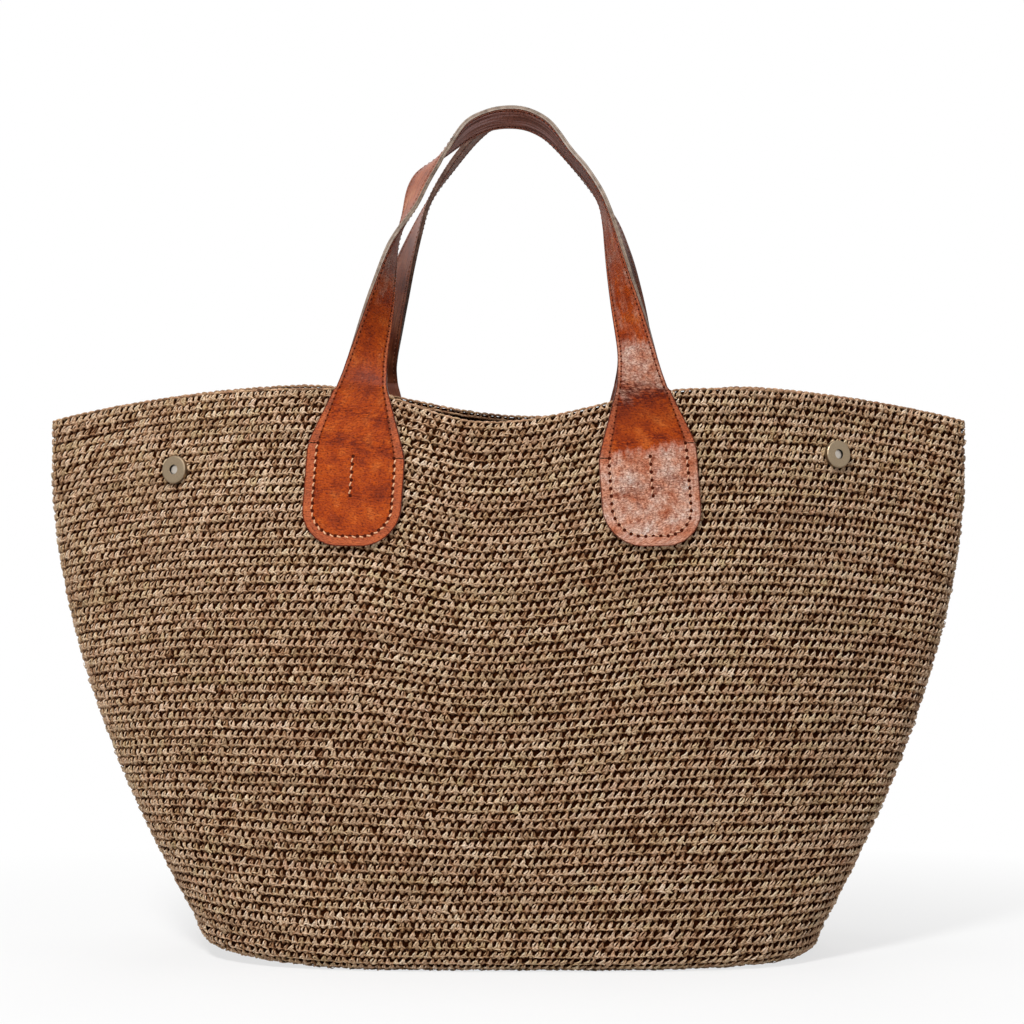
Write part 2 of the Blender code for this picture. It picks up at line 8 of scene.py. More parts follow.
import bpy
import numpy as np
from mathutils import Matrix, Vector


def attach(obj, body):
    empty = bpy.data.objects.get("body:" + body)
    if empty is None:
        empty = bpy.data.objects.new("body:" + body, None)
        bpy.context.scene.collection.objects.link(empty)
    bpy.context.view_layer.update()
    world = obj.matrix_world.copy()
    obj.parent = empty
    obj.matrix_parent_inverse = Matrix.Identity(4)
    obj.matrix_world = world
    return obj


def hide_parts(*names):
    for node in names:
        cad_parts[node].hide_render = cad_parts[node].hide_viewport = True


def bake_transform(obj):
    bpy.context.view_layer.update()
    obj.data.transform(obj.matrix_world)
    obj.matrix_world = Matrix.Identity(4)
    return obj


FRONT = -1
BACK = 1
SIDES = ((FRONT, "front"), (BACK, "back"))
HANDS = ((-1, "left"), (1, "right"))

# Body, as in the solids
TOP_HALF_WIDTH = 0.3035
FLARE = 0.104
FLARE_TOP = 0.839
FLARE_CURVE = 1.7
BASE_HALF_DEPTH = 0.092
BELLY = 0.014
BELLY_HEIGHT = 0.230
WALL = 0.004
EDGE_RADIUS = 0.014
RIM_HEIGHT = 0.3755
CORNER_DROP = 0.0235
CORNER_START = 0.125
WING_HALF_DEPTH = 0.0065
LEFT_SQUARENESS = 2.9
RIGHT_SQUARENESS = 4.2
SQUARENESS_Y = 3.2
LENS = 1.6
WING_FOLD = 36.0
PINCH_CURVE = 1.25
FRONT_DIP = (-0.012, 0.095, 0.135, 0.021)
BACK_DIP = (0.015, 0.160, 0.160, 0.022)
LEFT_FOOT_LIFT = 0.0095
RIGHT_FOOT_LIFT = 0.0030
FOOT_LIFT_START = 0.35
CREASE_DEPTH = 0.007
CREASE_HEIGHT = 0.150
CREASE_REACH = 0.085
CREASE_ACROSS = 0.86
CREASE_WIDTH = 0.09

# Leather, as in the solids
SEAT_GAP = 0.0004
LAYER_GAP = 0.0003
TAB_THICKNESS = 0.0021
OUTER_LEATHER = 0.0020
LINING_LEATHER = 0.0015
PATCH_LEATHER = 0.0015
HINGE_HEIGHT = RIM_HEIGHT + 0.0015
HINGE_HALF_WIDTH = 0.0165
TAB_HALF_WIDTH = 0.0315
TAB_LENGTH = 0.101
TAB_CORNER_RADIUS = 0.0245
TAB_X = {(FRONT, -1): -0.0935, (FRONT, 1): 0.0850, (BACK, -1): -0.0935, (BACK, 1): 0.0900}
TAB_LEAN = 0.075
PATCH_TOP_DROP = 0.030
PATCH_INSET = 0.005
STRAP_WIDTH = 0.024
STRAP_FLARE = 0.17
RISE = {FRONT: 0.1800, BACK: 0.1787}
SETBACK = {FRONT: 0.0115, BACK: 0.0130}
ARCH_X = 0.0010
SOFT_START = 0.05
FRAME_SETTLE = 0.08

# A leg's middle line as (share of the way out to its tab, share of the rise, share of the turn on edge).
# A negative turn brings the outer leather to the inner side of the loop.
LEGS = {
    (FRONT, -1): (
        (1.000, 0.000, 0.00), (0.976, 0.055, -0.08), (0.932, 0.170, -0.40), (0.887, 0.320, -0.65),
        (0.850, 0.470, -0.90), (0.812, 0.540, -1.04), (0.762, 0.595, -1.16), (0.710, 0.650, -1.26),
        (0.650, 0.730, -1.37), (0.605, 0.775, -1.38), (0.566, 0.805, -1.33), (0.520, 0.838, -1.23),
        (0.340, 0.940, -1.00), (0.168, 0.987, -0.98),
    ),
    (FRONT, 1): (
        (1.000, 0.000, 0.00), (0.980, 0.055, -0.08), (0.942, 0.170, -0.37), (0.888, 0.320, -0.60),
        (0.842, 0.466, -0.77), (0.820, 0.540, -0.85), (0.795, 0.610, -0.93), (0.746, 0.690, -1.02),
        (0.634, 0.780, -1.06), (0.530, 0.838, -1.06), (0.343, 0.940, -0.98), (0.173, 0.987, -0.97),
    ),
    (BACK, -1): (
        (1.000, 0.000, 0.00), (0.979, 0.055, -0.06), (0.920, 0.170, -0.31), (0.850, 0.320, -0.57),
        (0.776, 0.470, -0.78), (0.692, 0.600, -0.95), (0.598, 0.710, -1.10), (0.468, 0.810, -1.20),
        (0.295, 0.920, -1.25), (0.145, 0.982, -1.27),
    ),
    (BACK, 1): (
        (1.000, 0.000, 0.00), (0.989, 0.055, -0.05), (0.960, 0.170, -0.27), (0.920, 0.320, -0.49),
        (0.885, 0.470, -0.72), (0.830, 0.600, -0.93), (0.705, 0.710, -1.11), (0.550, 0.815, -1.20),
        (0.350, 0.920, -1.24), (0.170, 0.982, -1.27),
    ),
}
ARCH_TURN = {FRONT: -0.97, BACK: -1.28}

# Leather details. A tab has an outer and an inner shoulder, with a slit at each.
SHOULDERS = (0.0356, 0.0451)
CORNER_SOFTNESS = 0.0012
SLIT_GAP = 0.0003
SLIT_COLUMNS = 2
TAB_ROWS = 26
TAB_END_ROWS = 9
TAB_CURL = 0.0013
CURL_START = 0.055
STRAP_ROWS = 170
HINGE_OVERLAP = 0.0020
STRAP_LEATHER = 0.0016
STRAP_LINING = 0.0012

# How far a strap on edge is moved towards its outer face
EDGE_SHIFT = OUTER_LEATHER + 0.5 * (OUTER_LEATHER + LAYER_GAP + LINING_LEATHER + STRAP_LEATHER + STRAP_LINING)

# Rows over which a strap gets thinner, shares of the half width at its columns, and its rounded edges
THINNING_ROWS = 12
COLUMN_SHARES = np.array([-1.0, -0.89, -0.78, -0.6, -0.4, -0.2, 0.0, 0.2, 0.4, 0.6, 0.78, 0.89, 1.0])
EDGE_ROUNDING = 0.0006
EDGE_STEPS = 2
EDGE_ANGLE = math.radians(60.0)

# Stitch rows
ROW_INSET = 0.0024
TAB_ROW_INSET = 0.0064
SEAM_REACH = 0.005
FLARE_ROW_START = 0.004
MIDDLE_ROW = (0.0439, 0.0690)
MIDDLE_ROW_ASIDE = 0.0015
LINE_POINTS = 30
CORNER_POINTS = 20
MIDDLE_POINTS = 8
STRAP_STITCH = 0.0038
TAB_STITCH = 0.0049
SMALL_HOLE = 0.00072
SMALL_THREAD = 0.00030
TAB_HOLE = 0.00118
TAB_THREAD = 0.00050
TAB_SLANT = 0.0007
THREAD_ASIDE = 0.0005
HOLE_LIFT = 0.00008
THREAD_SIDES = 4
HOLE_SIDES = 8
HOLE_QUADS = np.array([(7, 2, 1, 0), (7, 6, 3, 2), (6, 5, 4, 3)])

# A thread between two holes as (share of the step, rise in thread radii, swing in slants)
THREAD_ARC = np.array([(0.26, -0.70, -0.5), (0.38, 0.30, -0.3), (0.62, 0.45, 0.3), (0.76, -0.70, 0.5)])

# The sewing's finishes, in their order: a hole's shade, then the threads
HOLE, COGNAC_THREAD, CORAL_THREAD, PINK_THREAD, BROWN_THREAD = range(5)

# Shares of the rise: where the arch's shade begins and is full, where the back lining's painted shade has
# ended, and over how much it fades
DARK_START = 0.36
DARK_END = 0.95
LINING_SHADE_END = 0.792
LINING_FADE = 0.417

# How strong that painted shade is at most, and the taupe edge paint on the back strap
LINING_SHADE = 0.9
BACK_TAUPE = 0.15

# Over what length a look of the leather fades, and how far its ends slant
LOOK_FADE = 0.014
LOOK_SLANT = 0.005

# Creases across the leather, darkened with painted shade, as (drop below the hinge line, width, strength)
CREASES = {
    (FRONT, -1): ((0.0165, 0.0040, 0.55), (0.0355, 0.0045, 0.50), (0.0690, 0.0035, 0.30)),
    (FRONT, 1): ((0.0040, 0.0070, 1.00), (0.0332, 0.0014, 0.80), (0.0640, 0.0050, 0.45)),
    (BACK, -1): ((0.0050, 0.0050, 0.60), (0.0340, 0.0030, 0.50)),
    (BACK, 1): ((0.0100, 0.0050, 0.55), (0.0380, 0.0040, 0.50)),
}

# Pale lengths of the leather, partly real wear and partly painted sheen, as (start, end, strength), as drops
# below the hinge line
WEAR_AND_SHEEN = {
    (FRONT, -1): ((-0.30, -0.085, 0.70), (-0.30, -0.050, 0.42)),
    (FRONT, 1): ((-0.30, -0.09, 0.55), (-0.30, -0.02, 0.30), (-0.038, 0.012, 0.72), (0.0332, 0.20, 0.92)),
    (BACK, -1): ((-0.30, -0.11, 1.10), (0.045, 0.20, 0.45)),
    (BACK, 1): ((-0.30, -0.11, 1.10), (-0.10, -0.02, 0.35)),
}

# Lengths of the leather darkened with painted shade, given in the same way
SHADED_LENGTHS = {
    (FRONT, -1): ((-0.30, 0.012, 0.62),),
    (FRONT, 1): ((-0.30, 0.0325, 0.60),),
    (BACK, -1): ((-0.30, 0.10, 0.90),),
    (BACK, 1): ((-0.30, 0.10, 0.90),),
}

# Crochet
STITCH = 0.00475
ROUND = 0.0060
BASE_ROUNDS = 13
EDGE_ROUNDS = 4
WALL_ROUNDS = 61
ALL_ROUNDS = BASE_ROUNDS + EDGE_ROUNDS + WALL_ROUNDS
LOW_ROUNDS_TALLER = 0.07
STEPS_A_ROUND = 2
QUARTER_COLUMNS = 128
OUTLINE_SAMPLES = 360
HEIGHT_SAMPLES = 140
RIM_FADE = 1.3
ROW_DROOP = 0.010
ROW_DROOP_START = 0.30
SEED = 7

# The photograph's view
CAMERA_DISTANCE = 2.2
CAMERA_ELEVATION = math.radians(3.0)
CAMERA_AIM = (0.0023, 0.0, 0.2925)
SENSOR = 36.0
PIXELS_A_METRE = 1500.0
PHOTO_WIDTH = 1024.0

# The floor: how far it reaches, how light it is, and where it fades to white as the camera sees it.
# It is part white from the start, and the fade's rings are narrower from front to back.
FLOOR_REACH = 40.0
FLOOR_TONE = 0.80
FADE_START = 0.20
FADE_END = 0.75
FADE_NEAR = 0.72
FLOOR_STRETCH = 1.6

# Lamps as (name, place, size, power), and how bright the surrounding is besides
LAMPS = (
    ("key", (-0.66, -1.72, 2.1), 0.40, 67.5),
    ("fill", (1.3, -2.0, 0.8), 1.4, 3.5),
    ("back", (0.3, 1.8, 1.6), 1.2, 14.0),
    ("above", (0.0, 0.2, 3.2), 1.0, 14.0),
)
LAMP_TARGET = (0.0, 0.0, 0.25)
AMBIENT = 0.11


def unit(vectors):
    """Vectors of length one."""
    return vectors / np.linalg.norm(vectors, axis=-1, keepdims=True)


def far_along(points):
    """How far along a line each of its points is."""
    return np.concatenate([[0.0], np.cumsum(np.linalg.norm(np.diff(points, axis=0), axis=1))])


def half_width(height):
    """Half of the body's width at a height."""
    below = np.maximum(0.0, 1.0 - height / (RIM_HEIGHT * FLARE_TOP))
    return TOP_HALF_WIDTH - FLARE * below**FLARE_CURVE


def half_depth(height):
    """Half of the body's depth at a height."""
    return BASE_HALF_DEPTH + BELLY * np.sin(np.pi * height / (2.0 * BELLY_HEIGHT))


def pinch(height):
    """From 0 at the foot, a rounded rectangle, to 1 at the rim, a lens."""
    up = (height - EDGE_RADIUS) / (RIM_HEIGHT - EDGE_RADIUS)
    return np.clip(up, 0.0, 1.0) ** PINCH_CURVE


def outline(across, hand, depth, pinched):
    """Half depth at a share across the half width."""
    across = np.minimum(1.0, across)
    squareness = np.where(np.less(hand, 0.0), LEFT_SQUARENESS, RIGHT_SQUARENESS)
    square = (1.0 - across**squareness) ** (1.0 / SQUARENESS_Y)
    wing = WING_HALF_DEPTH * np.sqrt(1.0 - across**WING_FOLD)
    lens = (depth - WING_HALF_DEPTH) * 0.5 * (1.0 + np.cos(np.pi * across**LENS))
    return (1.0 - pinched) * depth * square + pinched * (lens + wing)


def crease(x, height):
    """How far the right gusset is pushed in."""
    along = (height - CREASE_HEIGHT) / CREASE_REACH
    beside = (x / half_width(height) - CREASE_ACROSS) / CREASE_WIDTH
    return CREASE_DEPTH * np.exp(-along * along - beside * beside)


def wall_depth(x, height):
    """How far the wall's outer face is from the middle plane."""
    depth = outline(np.abs(x) / half_width(height), x, half_depth(height), pinch(height))
    return depth - np.minimum(crease(x, height), 0.5 * depth)


def on_wall(x, height, side, lift):
    """Points at a distance out from the wall's outer face, and the outward normals there."""
    x, height = np.broadcast_arrays(np.asarray(x, float), np.asarray(height, float))
    step = WALL
    slope_x = (wall_depth(x + step, height) - wall_depth(x - step, height)) / (2.0 * step)
    slope_z = (wall_depth(x, height + step) - wall_depth(x, height - step)) / (2.0 * step)
    normal = unit(np.stack([-slope_x, np.full_like(slope_x, side), -slope_z], axis=-1))
    face = np.stack([x, side * wall_depth(x, height), height], axis=-1)
    return face + normal * np.asarray(lift)[..., None], normal


def rim_height(x, side):
    """Height of the rim: its ends droop, and it dips between the legs of a handle."""
    out = np.maximum(0.0, np.abs(x) - CORNER_START) / (TOP_HALF_WIDTH - CORNER_START)
    middle, left, right, depth = FRONT_DIP if side == FRONT else BACK_DIP
    offset = x - middle
    reach = np.where(offset < 0.0, left, right)
    dip = depth * 0.5 * (1.0 + np.cos(np.pi * np.clip(np.abs(offset) / reach, 0.0, 1.0)))
    return RIM_HEIGHT - CORNER_DROP * out**2 - dip


def foot_lift(x):
    """How far the foot is off the floor."""
    across = np.abs(x) / half_width(EDGE_RADIUS)
    out = np.clip((across - FOOT_LIFT_START) / (1.0 - FOOT_LIFT_START), 0.0, 1.0)
    return np.where(x < 0.0, LEFT_FOOT_LIFT, RIGHT_FOOT_LIFT) * out**2


def quarter(width, hand, depth, pinched):
    """x and y at even lengths along a quarter outline, one line for each width."""
    across = 1.0 - (1.0 - np.linspace(0.0, 1.0, OUTLINE_SAMPLES + 1)) ** 3
    x = width[:, None] * across
    y = outline(across[None, :], hand, depth[:, None], pinched[:, None])
    walked = np.cumsum(np.hypot(np.diff(x, prepend=0.0), np.diff(y, prepend=y[:, :1])), axis=1)
    shares = np.linspace(0.0, 1.0, QUARTER_COLUMNS + 1)
    x = np.array([np.interp(shares * far[-1], far, line) for far, line in zip(walked, x)])
    y = np.array([np.interp(shares * far[-1], far, line) for far, line in zip(walked, y)])
    return x, y


def foot_quarter(hand, side):
    """A quarter of the base and of its rounded edge, from the middle line outward."""
    inner = half_depth(EDGE_RADIUS) - EDGE_RADIUS
    flat = np.arange(BASE_ROUNDS * STEPS_A_ROUND) / (BASE_ROUNDS * STEPS_A_ROUND)
    turn = 0.5 * np.pi * np.arange(EDGE_ROUNDS * STEPS_A_ROUND) / (EDGE_ROUNDS * STEPS_A_ROUND)
    inset = np.concatenate([EDGE_RADIUS + inner * (1.0 - flat), EDGE_RADIUS * (1.0 - np.sin(turn))])
    height = np.concatenate([np.zeros_like(flat), EDGE_RADIUS * (1.0 - np.cos(turn))])
    width = half_width(EDGE_RADIUS) - inset
    depth = half_depth(EDGE_RADIUS) - inset
    x, y = quarter(width, hand, depth, np.zeros_like(width))
    return np.stack([hand * x, side * y, height[:, None] + foot_lift(hand * x)], axis=-1)


def wall_quarter(hand, side):
    """A quarter of the wall, from the rounded edge up to the wavy rim."""
    levels = np.linspace(EDGE_RADIUS, RIM_HEIGHT, HEIGHT_SAMPLES)
    table_x, table_y = quarter(half_width(levels), hand, half_depth(levels), pinch(levels))
    share = np.linspace(0.0, 1.0, WALL_ROUNDS * STEPS_A_ROUND + 1)[:, None]
    share = share * (1.0 + LOW_ROUNDS_TALLER * (1.0 - share))
    rim = rim_height(hand * table_x[-1], side)[None, :]
    height = EDGE_RADIUS + (RIM_HEIGHT - EDGE_RADIUS) * share + (rim - RIM_HEIGHT) * share**RIM_FADE
    out = np.maximum(0.0, table_x[-1] / TOP_HALF_WIDTH - ROW_DROOP_START) / (1.0 - ROW_DROOP_START)
    height = height - ROW_DROOP * np.sin(np.pi * share) * out[None, :] ** 2
    at = (height - EDGE_RADIUS) / (RIM_HEIGHT - EDGE_RADIUS) * (HEIGHT_SAMPLES - 1)
    low = np.clip(at.astype(int), 0, HEIGHT_SAMPLES - 2)
    column = np.arange(QUARTER_COLUMNS + 1)[None, :]
    part = at - low
    x = table_x[low, column] * (1.0 - part) + table_x[low + 1, column] * part
    y = table_y[low, column] * (1.0 - part) + table_y[low + 1, column] * part
    y = y - np.minimum(crease(hand * x, height), 0.5 * y)
    lifted = height + foot_lift(hand * x) * (1.0 - share) ** 2
    return np.stack([hand * x, side * y, lifted], axis=-1)


def body_grid():
    """The body's outer face as rows of points, and the outward normals."""
    quarters = {
        (hand, side): np.concatenate([foot_quarter(hand, side), wall_quarter(hand, side)])
        for hand, place in HANDS
        for side, label in SIDES
    }
    points = np.concatenate([
        quarters[1, FRONT][:, :-1],
        quarters[1, BACK][:, :0:-1],
        quarters[-1, BACK][:, :-1],
        quarters[-1, FRONT][:, :0:-1],
    ], axis=1)
    along = np.roll(points, -1, axis=1) - np.roll(points, 1, axis=1)
    up = np.gradient(points, axis=0)
    normals = np.cross(along, up)
    normals[0] = (0.0, 0.0, -1.0)
    return points, unit(normals)


class Skin:
    """The body's outer face, found by a share of the way around and a number of crochet rounds up."""

    def __init__(self):
        self.points, self.normals = body_grid()
        step = np.roll(self.points, -1, axis=1) - self.points
        self.girth = np.linalg.norm(step, axis=-1).sum(axis=1)

    def girth_at(self, rounds):
        """Length around, at a number of rounds up."""
        return np.interp(rounds * STEPS_A_ROUND, np.arange(len(self.girth)), self.girth)

    def at(self, around, rounds, lift):
        """Points at a distance out from the face. Above the rim they go on straight up."""
        columns = self.points.shape[1]
        last = self.points.shape[0] - 1
        across = np.mod(around, 1.0) * columns
        column = across.astype(int) % columns
        beside = (across - across.astype(int))[..., None]
        up = rounds * STEPS_A_ROUND
        row = np.clip(up.astype(int), 0, last - 1)
        above = (up - row)[..., None]
        after = (column + 1) % columns

        def between(grid):
            low = grid[row, column] * (1.0 - beside) + grid[row, after] * beside
            high = grid[row + 1, column] * (1.0 - beside) + grid[row + 1, after] * beside
            return low * (1.0 - above) + high * above

        return between(self.points) + unit(between(self.normals)) * lift[..., None]


def grid_quads(rows, columns, closed=False):
    """Quads of a grid of points, row by row. A closed grid joins its last column to its first."""
    down = np.arange(rows - 1)[:, None] * columns
    across = np.arange(columns if closed else columns - 1)
    first = (down + across).ravel()
    beside = (down + (across + 1) % columns).ravel()
    return np.stack([first, beside, beside + columns, first + columns], axis=1)


def grid_faces(rows, columns):
    """The same quads, seen from the other side."""
    return grid_quads(rows, columns)[:, [0, 3, 2, 1]]


def placed(name, data):
    """An object in the scene, from its mesh, lamp or camera."""
    made = bpy.data.objects.new(name, data)
    bpy.context.scene.collection.objects.link(made)
    return made


def mesh_piece(name, points, faces, finishes, attributes=None, uv=None, face_finish=None):
    """An object from arrays: points, quads, a value a point for each attribute, a place a point for uv."""
    mesh = bpy.data.meshes.new(name)
    mesh.vertices.add(len(points))
    mesh.vertices.foreach_set("co", points.astype(np.float32).ravel())
    mesh.loops.add(faces.size)
    mesh.loops.foreach_set("vertex_index", faces.astype(np.int32).ravel())
    mesh.polygons.add(len(faces))
    mesh.polygons.foreach_set("loop_start", np.arange(0, faces.size, faces.shape[1], dtype=np.int32))
    mesh.polygons.foreach_set("use_smooth", np.ones(len(faces), bool))
    if face_finish is not None:
        mesh.polygons.foreach_set("material_index", face_finish.astype(np.int32))
    for label, values in (attributes or {}).items():
        layer = mesh.attributes.new(label, "FLOAT", "POINT")
        layer.data.foreach_set("value", values.astype(np.float32))
    if uv is not None:
        layer = mesh.uv_layers.new(name="OFBake")
        layer.data.foreach_set("uv", uv[faces.ravel()].astype(np.float32).ravel())
    mesh.update(calc_edges=True)
    for finish in finishes:
        mesh.materials.append(finish)
    return placed(name, mesh)


# A strand's middle line as (along in stitches, up in rounds, lift of its crest, radius), lengths in stitches
SLANTED_STRAND = (
    (-0.47, 0.42, -0.12, 0.09),
    (-0.30, 0.57, 0.06, 0.11),
    (-0.14, 0.76, 0.11, 0.115),
    (0.00, 0.94, 0.02, 0.10),
    (0.08, 1.08, -0.26, 0.08),
)
LEAF_STRAND = (
    (0.26, 1.06, -0.32, 0.08),
    (0.20, 0.90, -0.04, 0.13),
    (0.13, 0.72, 0.03, 0.18),
    (0.06, 0.54, 0.05, 0.25),
    (0.02, 0.36, 0.04, 0.33),
    (-0.01, 0.20, -0.03, 0.38),
    (0.00, 0.04, -0.17, 0.33),
    (0.02, -0.10, -0.36, 0.20),
)
BAND_STRAND = (
    (-0.60, 0.26, -0.14, 0.10),
    (-0.24, 0.45, 0.05, 0.13),
    (0.22, 0.44, 0.05, 0.13),
    (0.60, 0.24, -0.14, 0.10),
)
INNER_BAR = (
    (-0.58, 0.30, -0.34, 0.13),
    (-0.25, 0.42, -0.04, 0.19),
    (0.20, 0.38, 0.00, 0.21),
    (0.58, 0.26, -0.30, 0.14),
)
INNER_LEG = (
    (0.20, 1.02, -0.36, 0.12),
    (0.08, 0.80, -0.10, 0.18),
    (0.00, 0.60, -0.12, 0.18),
    (-0.06, 0.40, -0.36, 0.14),
)
CHAIN_LOOP = (
    (-0.62, -0.10, 0.10, 0.13),
    (-0.30, 0.04, 0.30, 0.17),
    (0.05, 0.10, 0.34, 0.18),
    (0.35, 0.08, 0.24, 0.16),
    (0.62, -0.06, 0.06, 0.12),
)

# Strands of a stitch as (middle line, sides of its tube, how much paler it is as a painted highlight)
OUTER_STRANDS = ((SLANTED_STRAND, 3, 0.24), (LEAF_STRAND, 4, 0.0), (BAND_STRAND, 3, 0.05))
INNER_STRANDS = ((INNER_BAR, 3, 0.0), (INNER_LEG, 3, 0.0))
STRAND_OPENING = 0.55 * np.pi

# How many forms a stitch has. Their strands differ in (along, up, lift, radius), bent and as a whole.
FORMS = 24
BEND_SPREAD = (0.05, 0.04, 0.04, 0.0)
SHIFT_SPREAD = (0.05, 0.05, 0.05, 0.0)
RADIUS_SPREAD = 0.13

# How much stitches differ along a round, as (in soft bumps, each stitch by itself)
HUE_SPREAD = (0.04, 0.05)
TONE_SPREAD = (0.07, 0.08)
WAVE_SPREAD = (0.03, 0.015)

# How many stitches long those bumps are
SHADE_REACH = 14
WAVE_REACH = 9

# How much each stitch differs in place, size and lean, and how far it leans
PLACE_SPREAD = 0.05
WIDTH_SPREAD = 0.07
HEIGHT_SPREAD = 0.035
SWELL_SPREAD = 0.00022
LEAN = 0.04
LEAN_SPREAD = 0.10
WING_LEAN = 0.22

# How deep the dark core of painted shade lies, in stitches, and how far its top is below the rim, in rounds
CORE_DEPTH = 0.42
CORE_TOP_DROP = 0.15

# The depth in stitches at which a strand's painted shade is darkest, and how much painted shade its flanks get
STRAND_SHADE_DEPTH = 0.38
FLANK_SHADE = 0.32

# The rim's lines of loops as (hand and distance from the wall's middle, drop in stitches)
CHAIN_LINES = ((-1.0, 0.0), (1.0, 0.0), (-1.7, 0.75))
CHAIN_SIDES = 7
CHAIN_PLACE_SPREAD = 0.06
CHAIN_SWELL_SPREAD = 0.00012

# The loops' tone and hue as (mean, spread), and how much painted shade they get
CHAIN_TONE = (0.37, 0.14)
CHAIN_HUE = (0.40, 0.10)
CHAIN_SHADE = 0.15


def strand(path, sides, glow):
    """An open-backed tube along a strand's middle line: points (along, up, lift, flank, glow as painted
    highlight) and quads.
    """
    path = np.array(path)
    line = path[:, :2] * (STITCH, ROUND)
    lift = path[:, 2] * STITCH
    radius = path[:, 3] * STITCH
    ahead = unit(np.gradient(line, axis=0))
    beside = np.stack([ahead[:, 1], -ahead[:, 0]], axis=1)
    turn = np.linspace(-STRAND_OPENING, STRAND_OPENING, sides + 1)
    flat = line[:, None, :] + beside[:, None, :] * (radius[:, None] * np.sin(turn))[..., None]
    height = lift[:, None] - radius[:, None] * (1.0 - np.cos(turn))
    flank = np.broadcast_to(0.5 * (1.0 - np.cos(turn)), height.shape)
    glows = np.full_like(height, glow)
    points = np.concatenate([flat, np.stack([height, flank, glows], axis=-1)], axis=-1).reshape(-1, 5)
    return points, grid_quads(len(path), sides + 1)


def stitch_forms(strands, seed):
    """Stitches made of the same strands, each a little different, and the quads that they share."""
    random = np.random.default_rng(seed)
    forms = []
    for form in range(FORMS):
        points, quads = [], []
        start = 0
        for path, sides, glow in strands:
            path = np.array(path)
            bend = random.normal(size=path.shape) * BEND_SPREAD
            shift = random.normal(size=len(SHIFT_SPREAD)) * SHIFT_SPREAD
            path = path + bend + shift
            path[:, 3] *= random.normal(1.0, RADIUS_SPREAD)
            some, faces = strand(path, sides, glow)
            points.append(some)
            quads.append(faces + start)
            start += len(some)
        forms.append(np.concatenate(points))
    return np.array(forms), np.concatenate(quads)


def varied(random, count, reach, soft, single):
    """Random values about 0 along a round: soft bumps a reach long, and each stitch by itself."""
    knots = max(4, int(round(count / reach)))
    values = random.normal(size=knots)
    at = np.arange(count) * knots / count
    low = at.astype(int)
    ease = at - low
    ease = ease * ease * (3.0 - 2.0 * ease)
    bumps = values[low % knots] * (1.0 - ease) + values[(low + 1) % knots] * ease
    return soft * bumps + single * random.normal(size=count)


class Stitches:
    """Where every stitch is, and how each one differs."""

    def __init__(self, skin, seed):
        random = np.random.default_rng(seed)
        rows = []
        for row in range(ALL_ROUNDS):
            girth = skin.girth_at(row + 0.5)
            count = int(round(girth / STITCH))
            place = np.arange(count) + random.normal(scale=PLACE_SPREAD, size=count) + 0.5 * (row % 2)
            rows.append((
                np.mod(place / count, 1.0),
                np.full(count, float(row)),
                np.full(count, girth / STITCH / count),
                0.5 + varied(random, count, SHADE_REACH, *HUE_SPREAD),
                0.5 + varied(random, count, SHADE_REACH, *TONE_SPREAD),
                varied(random, count, WAVE_REACH, *WAVE_SPREAD),
            ))
        columns = (np.concatenate(part) for part in zip(*rows))
        self.around, self.rounds, self.pitch, self.hue, self.tone, self.wave = columns
        count = len(self.around)
        self.wide = random.normal(1.0, WIDTH_SPREAD, count)
        self.tall = random.normal(1.0, HEIGHT_SPREAD, count)
        tip = 1.0 - np.abs(np.mod(self.around * 4.0, 2.0) - 1.0)
        self.lean = random.normal(LEAN, LEAN_SPREAD, count) + WING_LEAN * tip
        self.swell = random.normal(0.0, SWELL_SPREAD, count)
        self.form = random.integers(FORMS, size=count)


def lay_stitches(name, skin, stitches, chosen, form, finish, inside=False):
    """One object that holds the chosen stitches, laid on the outer face or on the inner face."""
    forms, quads = form
    pick = np.flatnonzero(chosen)
    template = forms[stitches.form[pick]]
    up = template[..., 1] * stitches.tall[pick, None]
    along = template[..., 0] * (stitches.pitch * stitches.wide)[pick, None]
    along = along + stitches.lean[pick, None] * (up - 0.5 * ROUND)
    lift = template[..., 2] + stitches.swell[pick, None]
    rounds = stitches.rounds[pick, None] + up / ROUND + stitches.wave[pick, None]
    girth = skin.girth_at(stitches.rounds[pick] + 0.5)[:, None]
    hand = -1.0 if inside else 1.0
    around = stitches.around[pick, None] + hand * along / girth
    rounds = np.clip(rounds, 0.0, float(ALL_ROUNDS))
    points = skin.at(around, rounds, -WALL - lift if inside else lift)
    points[..., 2] = np.maximum(points[..., 2], 0.0)
    count, size = template.shape[:2]
    faces = (np.arange(count)[:, None, None] * size + quads[None]).reshape(-1, 4)
    # Painted shade: darker the deeper a point lies, and on each strand's flanks
    strand_shade = np.clip(-lift / (STRAND_SHADE_DEPTH * STITCH) + FLANK_SHADE * template[..., 3], 0.0, 1.0)
    # The tone carries each strand's painted highlight
    attributes = {
        "tone": (stitches.tone[pick, None] + template[..., 4]).ravel(),
        "hue": np.repeat(stitches.hue[pick], size),
        "strand_shade": strand_shade.ravel(),
    }
    low, high = rounds.min(), rounds.max()
    middle = np.mod(stitches.around[pick], 1.0)
    if middle.min() < 0.2 and middle.max() > 0.8:
        around = np.where(around > 0.5, around - 1.0, around)
    across = (around - around.min()) / (around.max() - around.min())
    uv = np.stack([across.ravel(), ((rounds - low) / (high - low)).ravel()], axis=1)
    return mesh_piece(name, points.reshape(-1, 3), faces, [finish], attributes, uv)


def add_node(finish, kind, inputs=None, **settings):
    """A shader node. An input, found by name or number, is a value or another node's output."""
    made = finish.node_tree.nodes.new(kind)
    for label, value in settings.items():
        setattr(made, label, value)
    for label, value in (inputs or {}).items():
        if isinstance(value, bpy.types.NodeSocket):
            finish.node_tree.links.new(value, made.inputs[label])
        else:
            made.inputs[label].default_value = value
    return made


